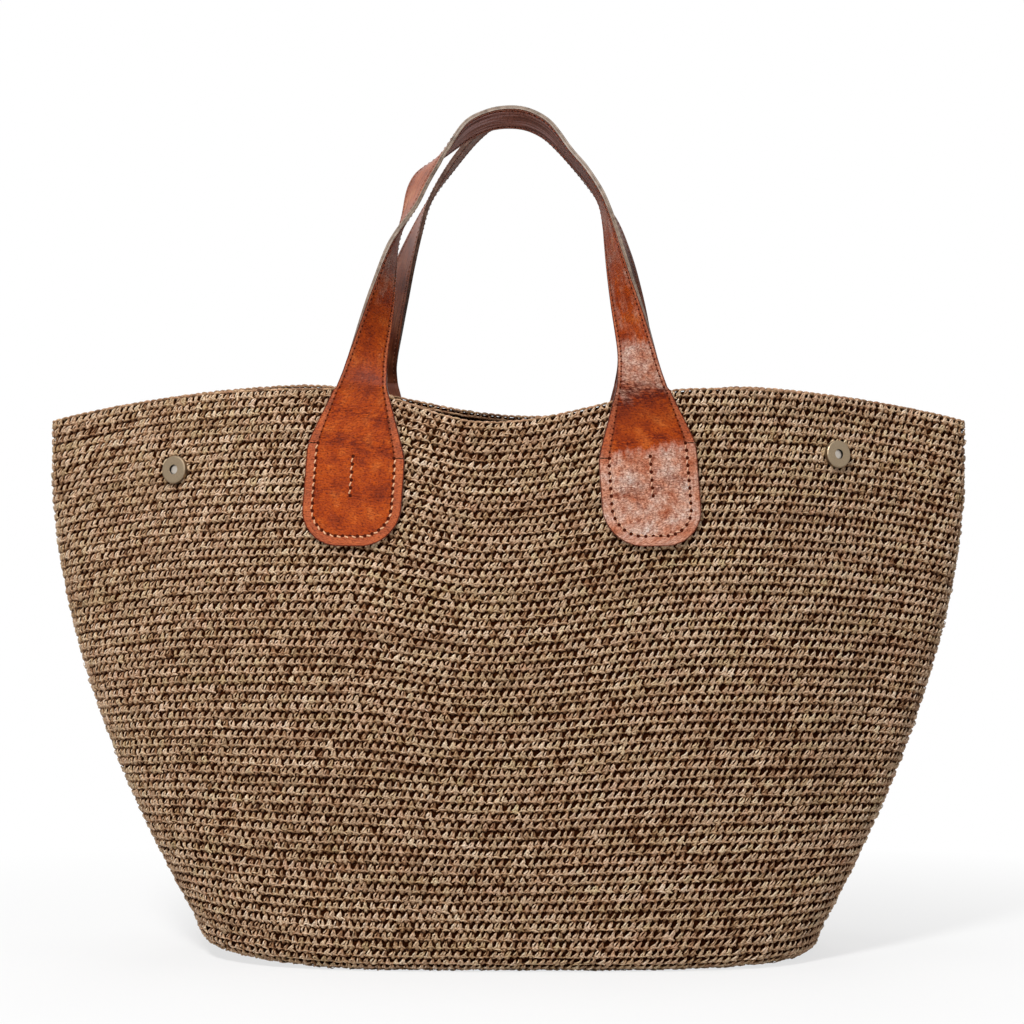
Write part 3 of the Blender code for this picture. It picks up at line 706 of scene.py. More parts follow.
BLACK = (0, 0, 0)
WHITE = (255, 255, 255)


def srgb(red, green, blue):
    """A colour from its 8-bit values, as linear light with alpha."""
    values = []
    for channel in (red, green, blue):
        share = channel / 255.0
        values.append(share / 12.92 if share <= 0.04045 else ((share + 0.055) / 1.055) ** 2.4)
    return (*values, 1.0)


def new_finish(name, roughness, values=None):
    """A material and its shader, with values for some of the shader's other inputs."""
    finish = bpy.data.materials.new(name)
    finish.use_nodes = True
    shader = finish.node_tree.nodes["Principled BSDF"]
    for label, value in {"Roughness": roughness, **(values or {})}.items():
        shader.inputs[label].default_value = value
    return finish, shader


def ramp(finish, factor, stops):
    """A colour ramp through stops of (place, colour as 8-bit values)."""
    stops = [(place, srgb(*colour)) for place, colour in stops]
    made = add_node(finish, "ShaderNodeValToRGB", {"Fac": factor})
    band = made.color_ramp
    band.elements[0].position, band.elements[0].color = stops[0]
    band.elements[1].position, band.elements[1].color = stops[-1]
    for place, colour in stops[1:-1]:
        band.elements.new(place).color = colour
    return made.outputs["Color"]


def object_place(finish):
    """Object coordinates."""
    return add_node(finish, "ShaderNodeTexCoord").outputs["Object"]


def scaled(finish, place, stretch):
    """A place, stretched along its first two axes."""
    made = add_node(finish, "ShaderNodeMapping", {"Vector": place, "Scale": (*stretch, 1.0)})
    return made.outputs["Vector"]


def noise(finish, place, scale, detail=2.0, roughness=0.5, stretch=(1.0, 1.0)):
    """A noise value, with a number of features a metre."""
    made = add_node(finish, "ShaderNodeTexNoise", {
        "Vector": scaled(finish, place, stretch), "Scale": scale, "Detail": detail, "Roughness": roughness,
    })
    return made.outputs["Fac"]


def mixed(finish, blend, factor, first, second):
    """Two colours mixed."""
    inputs = {0: factor, 6: first, 7: second}
    return add_node(finish, "ShaderNodeMix", inputs, data_type="RGBA", blend_type=blend).outputs[2]


def attribute(finish, label):
    """The value of a mesh attribute."""
    return add_node(finish, "ShaderNodeAttribute", attribute_name=label).outputs["Fac"]


def strip_place(finish):
    """A place on a strip of leather: along it and across it."""
    return add_node(finish, "ShaderNodeCombineXYZ", {
        "X": attribute(finish, "along"), "Y": attribute(finish, "across"),
    }).outputs["Vector"]


def maths(finish, operation, first, second):
    """Two values worked into one."""
    return add_node(finish, "ShaderNodeMath", {0: first, 1: second}, operation=operation).outputs[0]


def times(finish, first, second):
    """Two values multiplied."""
    return maths(finish, "MULTIPLY", first, second)


def summed(finish, first, second):
    """Two values added."""
    return maths(finish, "ADD", first, second)


def join(finish, output, shader, label):
    """Link an output to one of the shader's inputs."""
    finish.node_tree.links.new(output, shader.inputs[label])


def bump(finish, shader, heights):
    """Bumps in turn, each of (height output, strength, distance). A negative strength presses in."""
    normal = None
    for height, strength, distance in heights:
        inputs = {"Height": height, "Strength": abs(strength), "Distance": distance}
        if normal is not None:
            inputs["Normal"] = normal
        normal = add_node(finish, "ShaderNodeBump", inputs, invert=strength < 0.0).outputs["Normal"]
    join(finish, normal, shader, "Normal")


def raffia_finish():
    """Twisted palm fibre: tan to brown, each stitch its own tint, with painted shade deep down and on the
    strands' flanks, some strands paler as painted highlights, and fine fibres.
    """
    finish, shader = new_finish("raffia", 0.62, {"Specular IOR Level": 0.25})
    tone = attribute(finish, "tone")
    hue = attribute(finish, "hue")
    strand_shade = attribute(finish, "strand_shade")
    body = ramp(finish, tone, [
        (0.05, (134, 109, 86)), (0.35, (190, 165, 139)), (0.65, (226, 203, 180)), (0.95, (254, 242, 228)),
    ])
    tint = ramp(finish, hue, [
        (0.15, (232, 200, 186)), (0.5, (255, 247, 236)), (0.85, (238, 240, 196)),
    ])
    tinted = mixed(finish, "MULTIPLY", 1.0, body, tint)
    # Painted shade, darkest deep between the strands
    shade = ramp(finish, strand_shade, [
        (0.0, WHITE), (0.18, (236, 222, 208)), (0.45, (176, 146, 118)), (1.0, (62, 28, 8)),
    ])
    rooted = mixed(finish, "MULTIPLY", 1.0, tinted, shade)
    fibre = noise(finish, object_place(finish), 900.0, 3.0, 0.6)
    streak = ramp(finish, fibre, [(0.3, (158, 144, 130)), (0.62, WHITE)])
    join(finish, mixed(finish, "MULTIPLY", 1.0, rooted, streak), shader, "Base Color")
    bump(finish, shader, [(fibre, 0.5, 0.0004)])
    return finish


def shade_core_finish():
    """Painted shade: a dark sheet standing for the shaded inside of the crochet, seen between the strands."""
    finish, shader = new_finish("shade_core", 1.0, {"Specular IOR Level": 0.0})
    grain = noise(finish, object_place(finish), 700.0)
    colour = ramp(finish, grain, [(0.3, (34, 12, 2)), (0.7, (56, 26, 10))])
    join(finish, colour, shader, "Base Color")
    return finish


def shade_core(skin, finish):
    """The dark sheet of painted shade inside the wall, closed over the rim."""
    half = ALL_ROUNDS * 2
    columns = QUARTER_COLUMNS * 4
    rising = np.linspace(0.0, ALL_ROUNDS - CORE_TOP_DROP, half)
    around, rounds = np.meshgrid(np.arange(columns) / columns, np.concatenate([rising, rising[::-1]]))
    depth = CORE_DEPTH * STITCH
    lift = np.repeat([-depth, depth - WALL], half)
    points = skin.at(around, rounds, np.broadcast_to(lift[:, None], rounds.shape))
    uv = np.stack([
        (np.tile(np.arange(columns), 2 * half) + 0.5) / columns,
        np.repeat(np.arange(2 * half), columns) / (2 * half - 1),
    ], axis=1)
    faces = grid_quads(2 * half, columns, closed=True)
    return mesh_piece("shade_core", points.reshape(-1, 3), faces, [finish], None, uv)


def rim_chain(skin, finish):
    """The lines of small loops along the rim."""
    random = np.random.default_rng(SEED + 5)
    girth = skin.girth_at(float(ALL_ROUNDS))
    count = int(round(girth / STITCH))
    along, rise, out, radius = np.array(CHAIN_LOOP).T[:, :, None] * STITCH
    turn = 2.0 * np.pi * np.arange(CHAIN_SIDES) / CHAIN_SIDES
    size = len(CHAIN_LOOP) * CHAIN_SIDES
    quads = grid_quads(len(CHAIN_LOOP), CHAIN_SIDES, closed=True)
    points, faces, tones, hues = [], [], [], []
    for line, (hand, drop) in enumerate(CHAIN_LINES):
        up = rise - drop * STITCH + radius * np.sin(turn)
        across = hand * out + radius * np.cos(turn)
        jitter = random.normal(scale=CHAIN_PLACE_SPREAD, size=count)[:, None, None] * STITCH
        swell = random.normal(scale=CHAIN_SWELL_SPREAD, size=count)[:, None, None]
        rounds = float(ALL_ROUNDS) + (up + swell) / ROUND
        around = (np.arange(count) / count)[:, None, None] + (along + jitter) / girth
        lift = np.broadcast_to(across - 0.5 * WALL, rounds.shape)
        points.append(skin.at(np.broadcast_to(around, rounds.shape), rounds, lift).reshape(-1, 3))
        starts = (line * count + np.arange(count))[:, None, None] * size
        faces.append((starts + quads).reshape(-1, 4))
        for values, (mean, spread) in ((tones, CHAIN_TONE), (hues, CHAIN_HUE)):
            values.append(np.repeat(mean + spread * random.normal(size=count), size))
    points = np.concatenate(points)
    attributes = {
        "tone": np.concatenate(tones), "hue": np.concatenate(hues), "strand_shade": np.full(len(points), CHAIN_SHADE),
    }
    return mesh_piece("rim_chain", points, np.concatenate(faces), [finish], attributes)


def crochet(skin):
    """The body: strands outside and inside, a dark core of painted shade between them and a chain along the
    rim.
    """
    raffia = raffia_finish()
    pieces = [shade_core(skin, shade_core_finish()), rim_chain(skin, raffia)]
    faces = (("outer", OUTER_STRANDS, 2, 0), ("inner", INNER_STRANDS, 3, 1))
    for label, strands, form_seed, seed in faces:
        form = stitch_forms(strands, SEED + form_seed)
        stitches = Stitches(skin, SEED + seed)
        front = np.abs(stitches.around - 0.5) > 0.25
        wall = stitches.rounds >= BASE_ROUNDS
        for part, chosen in (("front", front & wall), ("back", ~front & wall), ("base", ~wall)):
            name = f"crochet_{label}_{part}"
            inside = label == "inner"
            pieces.append(lay_stitches(name, skin, stitches, chosen, form, raffia, inside))
    for piece in pieces:
        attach(piece, "basket")
    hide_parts("basket_body")


def tab_half_width(drop, shoulder):
    """Half width of a tab at a drop below the hinge line, above its round end."""
    over = HINGE_HALF_WIDTH + (TAB_HALF_WIDTH - HINGE_HALF_WIDTH) * drop / shoulder - TAB_HALF_WIDTH
    return TAB_HALF_WIDTH + 0.5 * (over - np.hypot(over, CORNER_SOFTNESS))


def tab_drops(start):
    """Drops of a tab's rows. Two close rows stand on either side of each slit."""
    corner = TAB_LENGTH - TAB_CORNER_RADIUS
    even = np.linspace(start, corner, TAB_ROWS)
    slits = np.array([shoulder + step for shoulder in SHOULDERS for step in (-SLIT_GAP, SLIT_GAP)])
    clear = np.abs(even[:, None] - slits[None, :]).min(axis=1) > 2.0 * SLIT_GAP
    turn = 0.5 * np.pi * np.arange(1, TAB_END_ROWS + 1) / TAB_END_ROWS
    return np.sort(np.concatenate([even[clear], slits, corner + TAB_CORNER_RADIUS * np.sin(turn)]))


def tab_edge(drop, shoulder, inset):
    """How far a line at an inset from a tab's edge is from its middle line."""
    corner = TAB_LENGTH - TAB_CORNER_RADIUS
    core = TAB_HALF_WIDTH - TAB_CORNER_RADIUS
    down = np.clip((drop - corner) / (TAB_CORNER_RADIUS - inset), 0.0, 1.0)
    round_end = core + (TAB_CORNER_RADIUS - inset) * np.sqrt(1.0 - down**2)
    return np.where(drop < corner, tab_half_width(drop, shoulder) - inset, round_end)


def tab_inset(aside, drop, half):
    """How far inside a tab's edge a place is."""
    beside = np.maximum(0.0, np.abs(aside) - (TAB_HALF_WIDTH - TAB_CORNER_RADIUS))
    below = drop - (TAB_LENGTH - TAB_CORNER_RADIUS)
    return np.where(below < 0.0, half - np.abs(aside), TAB_CORNER_RADIUS - np.hypot(beside, below))


def on_tab(side, hand, aside, drop, lift):
    """Points and normals over the wall at a place on a tab. Aside is towards the bag's middle."""
    x = TAB_X[side, hand] + hand * (TAB_LEAN * drop - aside)
    curl = TAB_CURL * np.clip((drop - CURL_START) / (TAB_LENGTH - CURL_START), 0.0, 1.0) ** 2 * (lift > 0.0)
    return on_wall(x, HINGE_HEIGHT - drop, side, np.full(x.shape, lift) + curl)


def row_inset(drop, shoulder):
    """How far a tab's stitch row is inside its edge."""
    return ROW_INSET + (TAB_ROW_INSET - ROW_INSET) * np.clip(drop / shoulder, 0.0, 1.0)


def tab_face(side, hand, start, inset, lift):
    """A tab's rows down to its round end: points, normals, distances from edge and seam, and drops."""
    drop = start + (tab_drops(start) - start) * (TAB_LENGTH - inset - start) / (TAB_LENGTH - start)
    columns = -side * COLUMN_SHARES[None, :]
    halves = [tab_edge(drop, shoulder, inset)[:, None] for shoulder in SHOULDERS]
    half = np.where(columns < 0.0, halves[0], halves[1])
    aside = half * columns
    down = np.broadcast_to(drop[:, None], aside.shape)
    points, normals = on_tab(side, hand, aside, down, lift)
    inside = tab_inset(aside, down, half)
    return points, normals, inside, inside - row_inset(down, SHOULDERS[0]), drop


def through_points(points, count):
    """Evenly spaced points on a smooth curve through the given ones."""
    points = np.array(points)
    reach = far_along(points[:, :2])
    index = np.arange(len(points))
    before = np.maximum(index - 1, 0)
    after = np.minimum(index + 1, len(points) - 1)
    slopes = (points[after] - points[before]) / (reach[after] - reach[before])[:, None]
    far = reach[-1] * np.arange(count + 1) / count
    at = np.clip(np.searchsorted(reach, far) - 1, 0, len(points) - 2)
    span = (reach[at + 1] - reach[at])[:, None]
    share = (far[:, None] - reach[at, None]) / span
    rise = share * share * (3.0 - 2.0 * share)
    bend = share * (1.0 - share) * span
    lean = slopes[at] * (1.0 - share) - slopes[at + 1] * share
    return points[at] + (points[at + 1] - points[at]) * rise + bend * lean


def strap_face(side):
    """A strap's rows from the left leg over the arch to the right: middles, widths, normals, half widths."""
    rise = RISE[side]
    reach = {hand: TAB_X[side, hand] - ARCH_X for hand, place in HANDS}
    path = [(out * reach[-1], up * rise, turn) for out, up, turn in LEGS[side, -1]]
    path.append((0.0, rise, ARCH_TURN[side]))
    path += [(out * reach[1], up * rise, turn) for out, up, turn in reversed(LEGS[side, 1])]
    x, up, turn = through_points(path, STRAP_ROWS).T
    hand = np.where(x < 0.0, -1.0, 1.0)
    tab = np.where(x < 0.0, TAB_X[side, -1], TAB_X[side, 1])
    start, outward = on_wall(tab, HINGE_HEIGHT, side, np.full(len(x), SEAT_GAP + TAB_THICKNESS))
    share = np.clip(up / rise, 0.0, 1.0)
    soft = share + SOFT_START
    travel = share * share * (1.0 + SOFT_START) / soft
    steepness = (1.0 + SOFT_START) * share * (share + 2.0 * SOFT_START) / soft**2
    inward = side * SETBACK[side] - start[:, 1]
    middle = np.stack([
        ARCH_X + x, start[:, 1] + inward * travel, HINGE_HEIGHT + np.maximum(0.0, up),
    ], axis=1)
    yaw = np.arctan2(hand * outward[:, 0], side * outward[:, 1])
    turn = yaw * (1.0 - np.abs(turn)) + turn * 0.5 * np.pi
    settle = np.minimum(1.0, share / FRAME_SETTLE)[:, None]
    upright = np.zeros_like(middle)
    upright[:, 2] = np.where(np.arange(len(x)) < 0.5 * len(x), 1.0, -1.0)
    along = unit(unit(np.gradient(middle, axis=0)) * settle + upright * (1.0 - settle))
    face = np.stack([np.zeros_like(x), np.full_like(x, side), -side * inward * steepness / rise], axis=1)
    face = unit(face)
    face = unit(face - along * (face * along).sum(axis=1, keepdims=True))
    out = np.cross(face, along) * -side
    normal = face * np.cos(turn)[:, None] + out * np.sin(turn)[:, None]
    flare = np.maximum(0.0, 1.0 - share / STRAP_FLARE) ** 2
    half = 0.5 * STRAP_WIDTH + (HINGE_HALF_WIDTH - 0.5 * STRAP_WIDTH) * flare
    middle = middle + normal * (EDGE_SHIFT * np.sin(turn) ** 2)[:, None]
    return middle, np.cross(along, normal), normal, half


def lengths(drop, spans):
    """How much of a look the leather has at drops below the hinge line."""
    amount = np.zeros_like(drop)
    for start, end, strength in spans:
        rise = np.clip((drop - start) / LOOK_FADE, 0.0, 1.0)
        fall = np.clip((end - drop) / LOOK_FADE, 0.0, 1.0)
        amount = np.maximum(amount, strength * rise * fall)
    return amount


def wear_sheen_and_shade(side, hand, drop):
    """How pale with wear and painted sheen, how wrinkled, and how dark with painted shade the leather is at
    drops below the hinge line.
    """
    crease = np.zeros_like(drop)
    for place, width, strength in CREASES[side, hand]:
        crease = crease + strength * np.exp(-(((drop - place) / width) ** 2))
    return lengths(drop, WEAR_AND_SHEEN[side, hand]), crease, lengths(drop, SHADED_LENGTHS[side, hand])


def edge_tone(side, share):
    """How much of the taupe edge paint shows at a share of the rise: all of it on the front strap."""
    return np.clip(share / DARK_START, 0.0, 1.0) * (1.0 if side == FRONT else BACK_TAUPE)


def strip_face(side):
    """A handle's outer face from one tab's end over the arch to the other's.

    Gives points, normals, values a point and a thickness for each row.
    """
    middle, width, normal, half = strap_face(side)
    aside = COLUMN_SHARES[None, :] * half[:, None]
    points = middle[:, None] + width[:, None] * aside[..., None]
    normals = np.broadcast_to(normal[:, None], points.shape)
    inside = half[:, None] - np.abs(aside)
    left_side = np.arange(len(half)) < 0.5 * len(half)
    drop = -(middle[:, 2] - HINGE_HEIGHT)
    drop = drop[:, None] + LOOK_SLANT * COLUMN_SHARES
    looks = (
        np.where(left_side[:, None], left, right)
        for left, right in zip(wear_sheen_and_shade(side, -1, drop), wear_sheen_and_shade(side, 1, drop))
    )
    share = (middle[:, 2] - HINGE_HEIGHT) / RISE[side]
    dark = np.clip((share - DARK_START) / (DARK_END - DARK_START), 0.0, 1.0) * (side == FRONT)
    taupe = edge_tone(side, share)[:, None]
    runs = [(points, normals, inside, inside - ROW_INSET, *looks, dark[:, None], taupe)]
    for hand, place in HANDS:
        *face, down = tab_face(side, hand, HINGE_OVERLAP, 0.0, SEAT_GAP + TAB_THICKNESS)
        none = np.zeros((len(down), 1))
        run = (*face, *wear_sheen_and_shade(side, hand, down[:, None] - LOOK_SLANT * COLUMN_SHARES), none, none)
        if hand < 0:
            runs.insert(0, tuple(part[::-1] for part in run))
        else:
            runs.append(run)
    points, normals, inside, seam, *rows = (np.concatenate(part) for part in zip(*runs))
    along = far_along(points[:, points.shape[1] // 2])
    across = np.linalg.norm(points - points[:, :1], axis=2)
    values = {"along": along[:, None], "across": across, "inset": inside, "seam": seam}
    values.update(zip(("wear_and_sheen", "crease", "strap_shade", "dark", "taupe"), rows))
    strap = np.arange(len(points)) - len(runs[0][0])
    inward = np.minimum(strap, len(half) - 1 - strap) / THINNING_ROWS
    thickness = TAB_THICKNESS + (STRAP_LEATHER - TAB_THICKNESS) * np.clip(inward, 0.0, 1.0)
    return points, normals, values, thickness


def lining_layer(rows):
    """Thickness of the lining at each row of a strap. Its ends lie flush with the tabs' inner faces."""
    row = np.arange(rows)
    inward = np.clip(np.minimum(row, row[::-1]) / THINNING_ROWS, 0.0, 1.0)
    flush = TAB_THICKNESS - STRAP_LEATHER
    return flush + (STRAP_LINING - flush) * inward


def uncut(side):
    """Which quads of a handle's grid are left once the slits are cut."""
    drop = tab_drops(HINGE_OVERLAP)
    tab = np.ones((len(drop) - 1, len(COLUMN_SHARES) - 1), bool)
    for index, shoulder in enumerate(SHOULDERS):
        row = np.searchsorted(drop, shoulder) - 1
        if (index == 0) == (side == FRONT):
            tab[row, :SLIT_COLUMNS] = False
        else:
            tab[row, -SLIT_COLUMNS:] = False
    strap = np.ones((STRAP_ROWS + 2, len(COLUMN_SHARES) - 1), bool)
    return np.concatenate([tab[::-1], strap, tab]).ravel()


def slab(name, points, normals, thickness, finishes, values, keep=None):
    """A sheet of leather with a thickness for each row and rounded edges.

    The first finish is the outer face's, the second the edge's and the last the inner face's.
    """
    normals = np.broadcast_to(normals, points.shape)
    thickness = np.broadcast_to(thickness, points.shape[0])[:, None, None]
    count = points.shape[0] * points.shape[1]
    outer = grid_faces(*points.shape[:2])
    if keep is not None:
        outer = outer[keep]
    flat = points.reshape(-1, 3)
    corner = flat[outer[0]]
    facing = np.cross(corner[1] - corner[0], corner[3] - corner[0])
    if np.dot(facing, normals.reshape(-1, 3)[outer[0, 0]]) < 0.0:
        outer = outer[:, ::-1]
    starts = outer.ravel()
    ends = np.roll(outer, -1, axis=1).ravel()
    both_ways = starts * count + ends
    open_edge = ~np.isin(ends * count + starts, both_ways)
    start, end = starts[open_edge], ends[open_edge]
    rim = np.stack([end, start, start + count, end + count], axis=1)
    faces = np.concatenate([outer, outer[:, ::-1] + count, rim])
    sheet_points = np.concatenate([flat, (points - normals * thickness).reshape(-1, 3)])
    finish_of = np.repeat([0, 2, 1], [len(outer), len(outer), len(rim)])
    spread = {label: np.broadcast_to(value, points.shape[:2]).ravel() for label, value in values.items()}
    doubled = {label: np.tile(value, 2) for label, value in spread.items()}
    made = mesh_piece(name, sheet_points, faces, finishes, doubled, None, finish_of)
    rounding = made.modifiers.new("Rounded edge", "BEVEL")
    rounding.width = EDGE_ROUNDING
    rounding.segments = EDGE_STEPS
    rounding.angle_limit = EDGE_ANGLE
    bpy.context.view_layer.update()
    shaped = bpy.data.meshes.new_from_object(made.evaluated_get(bpy.context.evaluated_depsgraph_get()))
    made.modifiers.clear()
    made.data = shaped
    return made


def walk(points, normals, spacing):
    """Evenly spaced places along a line: points, directions and normals."""
    far = far_along(points)
    at = np.linspace(0.0, far[-1], max(2, int(round(far[-1] / spacing)) + 1))
    places = np.stack([np.interp(at, far, points[:, axis]) for axis in range(3)], axis=1)
    facing = unit(np.stack([np.interp(at, far, normals[:, axis]) for axis in range(3)], axis=1))
    return places, unit(np.gradient(places, axis=0)), facing


class Sewing:
    """Collects stitch holes and threads into one mesh."""

    def __init__(self):
        self.points = []
        self.faces = []
        self.kinds = []
        self.count = 0

    def add(self, points, quads, kind):
        """Copies of a small shape, one for each row of points."""
        copies, size = points.shape[:2]
        self.points.append(points.reshape(-1, 3))
        faces = self.count + np.arange(copies)[:, None, None] * size + quads[None]
        self.faces.append(faces.reshape(-1, 4))
        self.kinds.append(np.full(copies * len(quads), kind))
        self.count += copies * size

    def row(self, line, hole, thread, slant, kind):
        """A row of holes with a short slanting thread from each to the next."""
        places, ahead, facing = line
        beside = np.cross(ahead, facing)
        turn = 2.0 * np.pi * np.arange(HOLE_SIDES) / HOLE_SIDES
        ring = ahead[:, None] * np.cos(turn)[:, None] + beside[:, None] * np.sin(turn)[:, None]
        self.add(places[:, None] + ring * hole + facing[:, None] * HOLE_LIFT, HOLE_QUADS, HOLE)
        step, rise, swing = THREAD_ARC.T[:, :, None, None]
        around = np.linspace(-0.5 * np.pi, 0.5 * np.pi, THREAD_SIDES + 1)[None, :, None]
        start, side_way, up = (part[:-1, None, None] for part in (places, beside, facing))
        span = (places[1:] - places[:-1])[:, None, None]
        sideways = swing * slant + THREAD_ASIDE * (slant > 0.0) + np.sin(around) * thread
        height = rise * thread + np.cos(around) * thread + HOLE_LIFT
        points = start + span * step + side_way * sideways + up * height
        quads = grid_faces(len(THREAD_ARC), THREAD_SIDES + 1)[:, ::-1]
        self.add(points.reshape(len(points), -1, 3), quads, kind)


def tab_line(side, hand, drops, direction, depth):
    """Points and normals of a tab's stitch row on one side of its middle line."""
    shoulder = SHOULDERS[0] if direction < 0 else SHOULDERS[1]
    aside = direction * tab_edge(drops, shoulder, row_inset(drops, shoulder))
    return on_tab(side, hand, aside, drops, SEAT_GAP + TAB_THICKNESS - depth)


def sew_strap(side, sewing):
    """The small stitches along both edges of a strap, on the outer leather and on the lining."""
    middle, width, normal, half = strap_face(side)
    depth = (STRAP_LEATHER + lining_layer(len(middle)))[:, None]
    for direction in (-1.0, 1.0):
        edge = middle + width * (direction * (half - ROW_INSET))[:, None]
        sewing.row(walk(edge, normal, STRAP_STITCH), SMALL_HOLE, SMALL_THREAD, 0.0, COGNAC_THREAD)
        inner = walk(edge - normal * depth, -normal, STRAP_STITCH)
        sewing.row(inner, 0.5 * SMALL_HOLE, SMALL_THREAD, 0.0, BROWN_THREAD)


def sew_flare(side, hand, sewing):
    """The small stitches down both edges of a tab's flare."""
    for direction, shoulder in zip((-1, 1), SHOULDERS):
        drops = np.linspace(FLARE_ROW_START, shoulder, LINE_POINTS)
        line = walk(*tab_line(side, hand, drops, direction, 0.0), STRAP_STITCH)
        sewing.row(line, SMALL_HOLE, SMALL_THREAD, 0.0, COGNAC_THREAD)


def sew_tab(side, hand, depth, flip, sewing):
    """The large stitches around a tab and in its middle, on the face at a depth below the tab's outer one."""
    thread = CORAL_THREAD if hand < 0 else PINK_THREAD
    corner = TAB_LENGTH - TAB_CORNER_RADIUS
    turn = np.linspace(0.0, 0.5 * np.pi, CORNER_POINTS)[1:]
    round_end = corner + (TAB_CORNER_RADIUS - TAB_ROW_INSET) * np.sin(turn)
    runs = []
    for direction, shoulder in zip((-1, 1), SHOULDERS):
        drops = np.concatenate([np.linspace(shoulder, corner, LINE_POINTS), round_end])
        runs.append(tab_line(side, hand, drops, direction, depth))
    around = [np.concatenate([down, up[::-1]]) for down, up in zip(*runs)]
    drops = np.linspace(*MIDDLE_ROW, MIDDLE_POINTS)
    aside = np.full(len(drops), -MIDDLE_ROW_ASIDE)
    middle = on_tab(side, hand, aside, drops, SEAT_GAP + TAB_THICKNESS - depth)
    for points, normals in (around, middle):
        line = walk(points, normals * flip, TAB_STITCH)
        sewing.row(line, TAB_HOLE, TAB_THREAD, TAB_SLANT, thread)


def sew(side):
    """All stitches of a handle."""
    sewing = Sewing()
    sew_strap(side, sewing)
    patch_depth = TAB_THICKNESS + WALL + 2.0 * SEAT_GAP + PATCH_LEATHER
    for hand, place in HANDS:
        sew_flare(side, hand, sewing)
        sew_tab(side, hand, 0.0, 1.0, sewing)
        sew_tab(side, hand, patch_depth, -1.0, sewing)
    return sewing


def wear_and_sheen_share(finish, place):
    """How much of the pale surface shows, partly real wear and partly painted sheen, with a ragged edge."""
    fringe = noise(finish, place, 110.0, 5.0, 0.65, (0.6, 1.5))
    ragged = times(finish, summed(finish, fringe, -0.5), 1.5)
    return ramp(finish, summed(finish, attribute(finish, "wear_and_sheen"), ragged), [(0.22, BLACK), (0.78, WHITE)])


def wear_and_sheen_colour(finish, place):
    """Pale leather, partly rubbed and partly painted sheen, with fine cracks and scuffs."""
    pale = ramp(finish, noise(finish, place, 90.0, 4.0, 0.6, (1.0, 0.8)), [
        (0.30, (184, 98, 62)), (0.42, (220, 162, 136)), (0.56, (236, 204, 190)), (0.70, (232, 220, 216)),
    ])
    cells = add_node(finish, "ShaderNodeTexVoronoi", {
        "Vector": scaled(finish, place, (1.3, 1.0)), "Scale": 420.0,
    }, feature="DISTANCE_TO_EDGE").outputs["Distance"]
    cracks = ramp(finish, cells, [(0.0, (150, 104, 88)), (0.09, WHITE)])
    scuffs = ramp(finish, noise(finish, place, 300.0, 4.0, 0.62, (0.85, 1.1)), [
        (0.36, (164, 98, 78)), (0.46, (240, 226, 218)), (0.54, WHITE),
    ])
    return mixed(finish, "MULTIPLY", 0.7, mixed(finish, "MULTIPLY", 0.6, pale, cracks), scuffs)


def wrinkle_lines(finish, place):
    """Short lines across the leather, deepest at its creases; their colour is painted shade in the folds."""
    wrinkles = noise(finish, place, 240.0, 3.0, 0.55, (2.0, 0.42))
    lines = ramp(finish, wrinkles, [(0.43, BLACK), (0.50, WHITE), (0.57, BLACK)])
    return times(finish, lines, summed(finish, attribute(finish, "crease"), 0.30))


def used_colour(finish, place, skin, wrinkles):
    """The skin with painted shade in its wrinkles, along its creases and on shaded lengths, striped in the
    arch's shade.
    """
    # Painted shade in the wrinkle lines and along the creases
    colour = mixed(finish, "MULTIPLY", wrinkles, skin, srgb(150, 92, 66))
    creased = times(finish, attribute(finish, "crease"), 0.30)
    colour = mixed(finish, "MULTIPLY", creased, colour, srgb(196, 140, 110))
    # Painted shade on the lengths that lie in shade
    colour = mixed(finish, "MULTIPLY", attribute(finish, "strap_shade"), colour, srgb(196, 186, 182))
    stripes = ramp(finish, noise(finish, place, 260.0, 2.0, 0.5, (0.07, 2.2)), [
        (0.38, (92, 48, 38)), (0.5, (136, 84, 68)), (0.62, (164, 124, 120)),
    ])
    return mixed(finish, "MIX", attribute(finish, "dark"), colour, stripes)


def edged_colour(finish, colour, seam, groove):
    """The leather with painted shade in its pressed stitch line, a rubbed border outside it, and a dark band
    along its edge that is partly burnishing and partly painted shade.
    """
    # Painted shade in the pressed stitch line
    colour = mixed(finish, "MULTIPLY", times(finish, groove, 0.45), colour, srgb(140, 84, 60))
    border = ramp(finish, seam, [(0.40, WHITE), (0.50, BLACK)])
    colour = mixed(finish, "MIX", times(finish, border, 0.30), colour, srgb(206, 132, 100))
    # A dark band along the edge: partly burnished leather, partly painted shade under the rim
    inset = times(finish, attribute(finish, "inset"), 1.0 / SEAM_REACH)
    edge_burn_and_shade = ramp(finish, inset, [(0.08, (140, 104, 88)), (0.18, WHITE)])
    return mixed(finish, "MULTIPLY", 1.0, colour, edge_burn_and_shade)


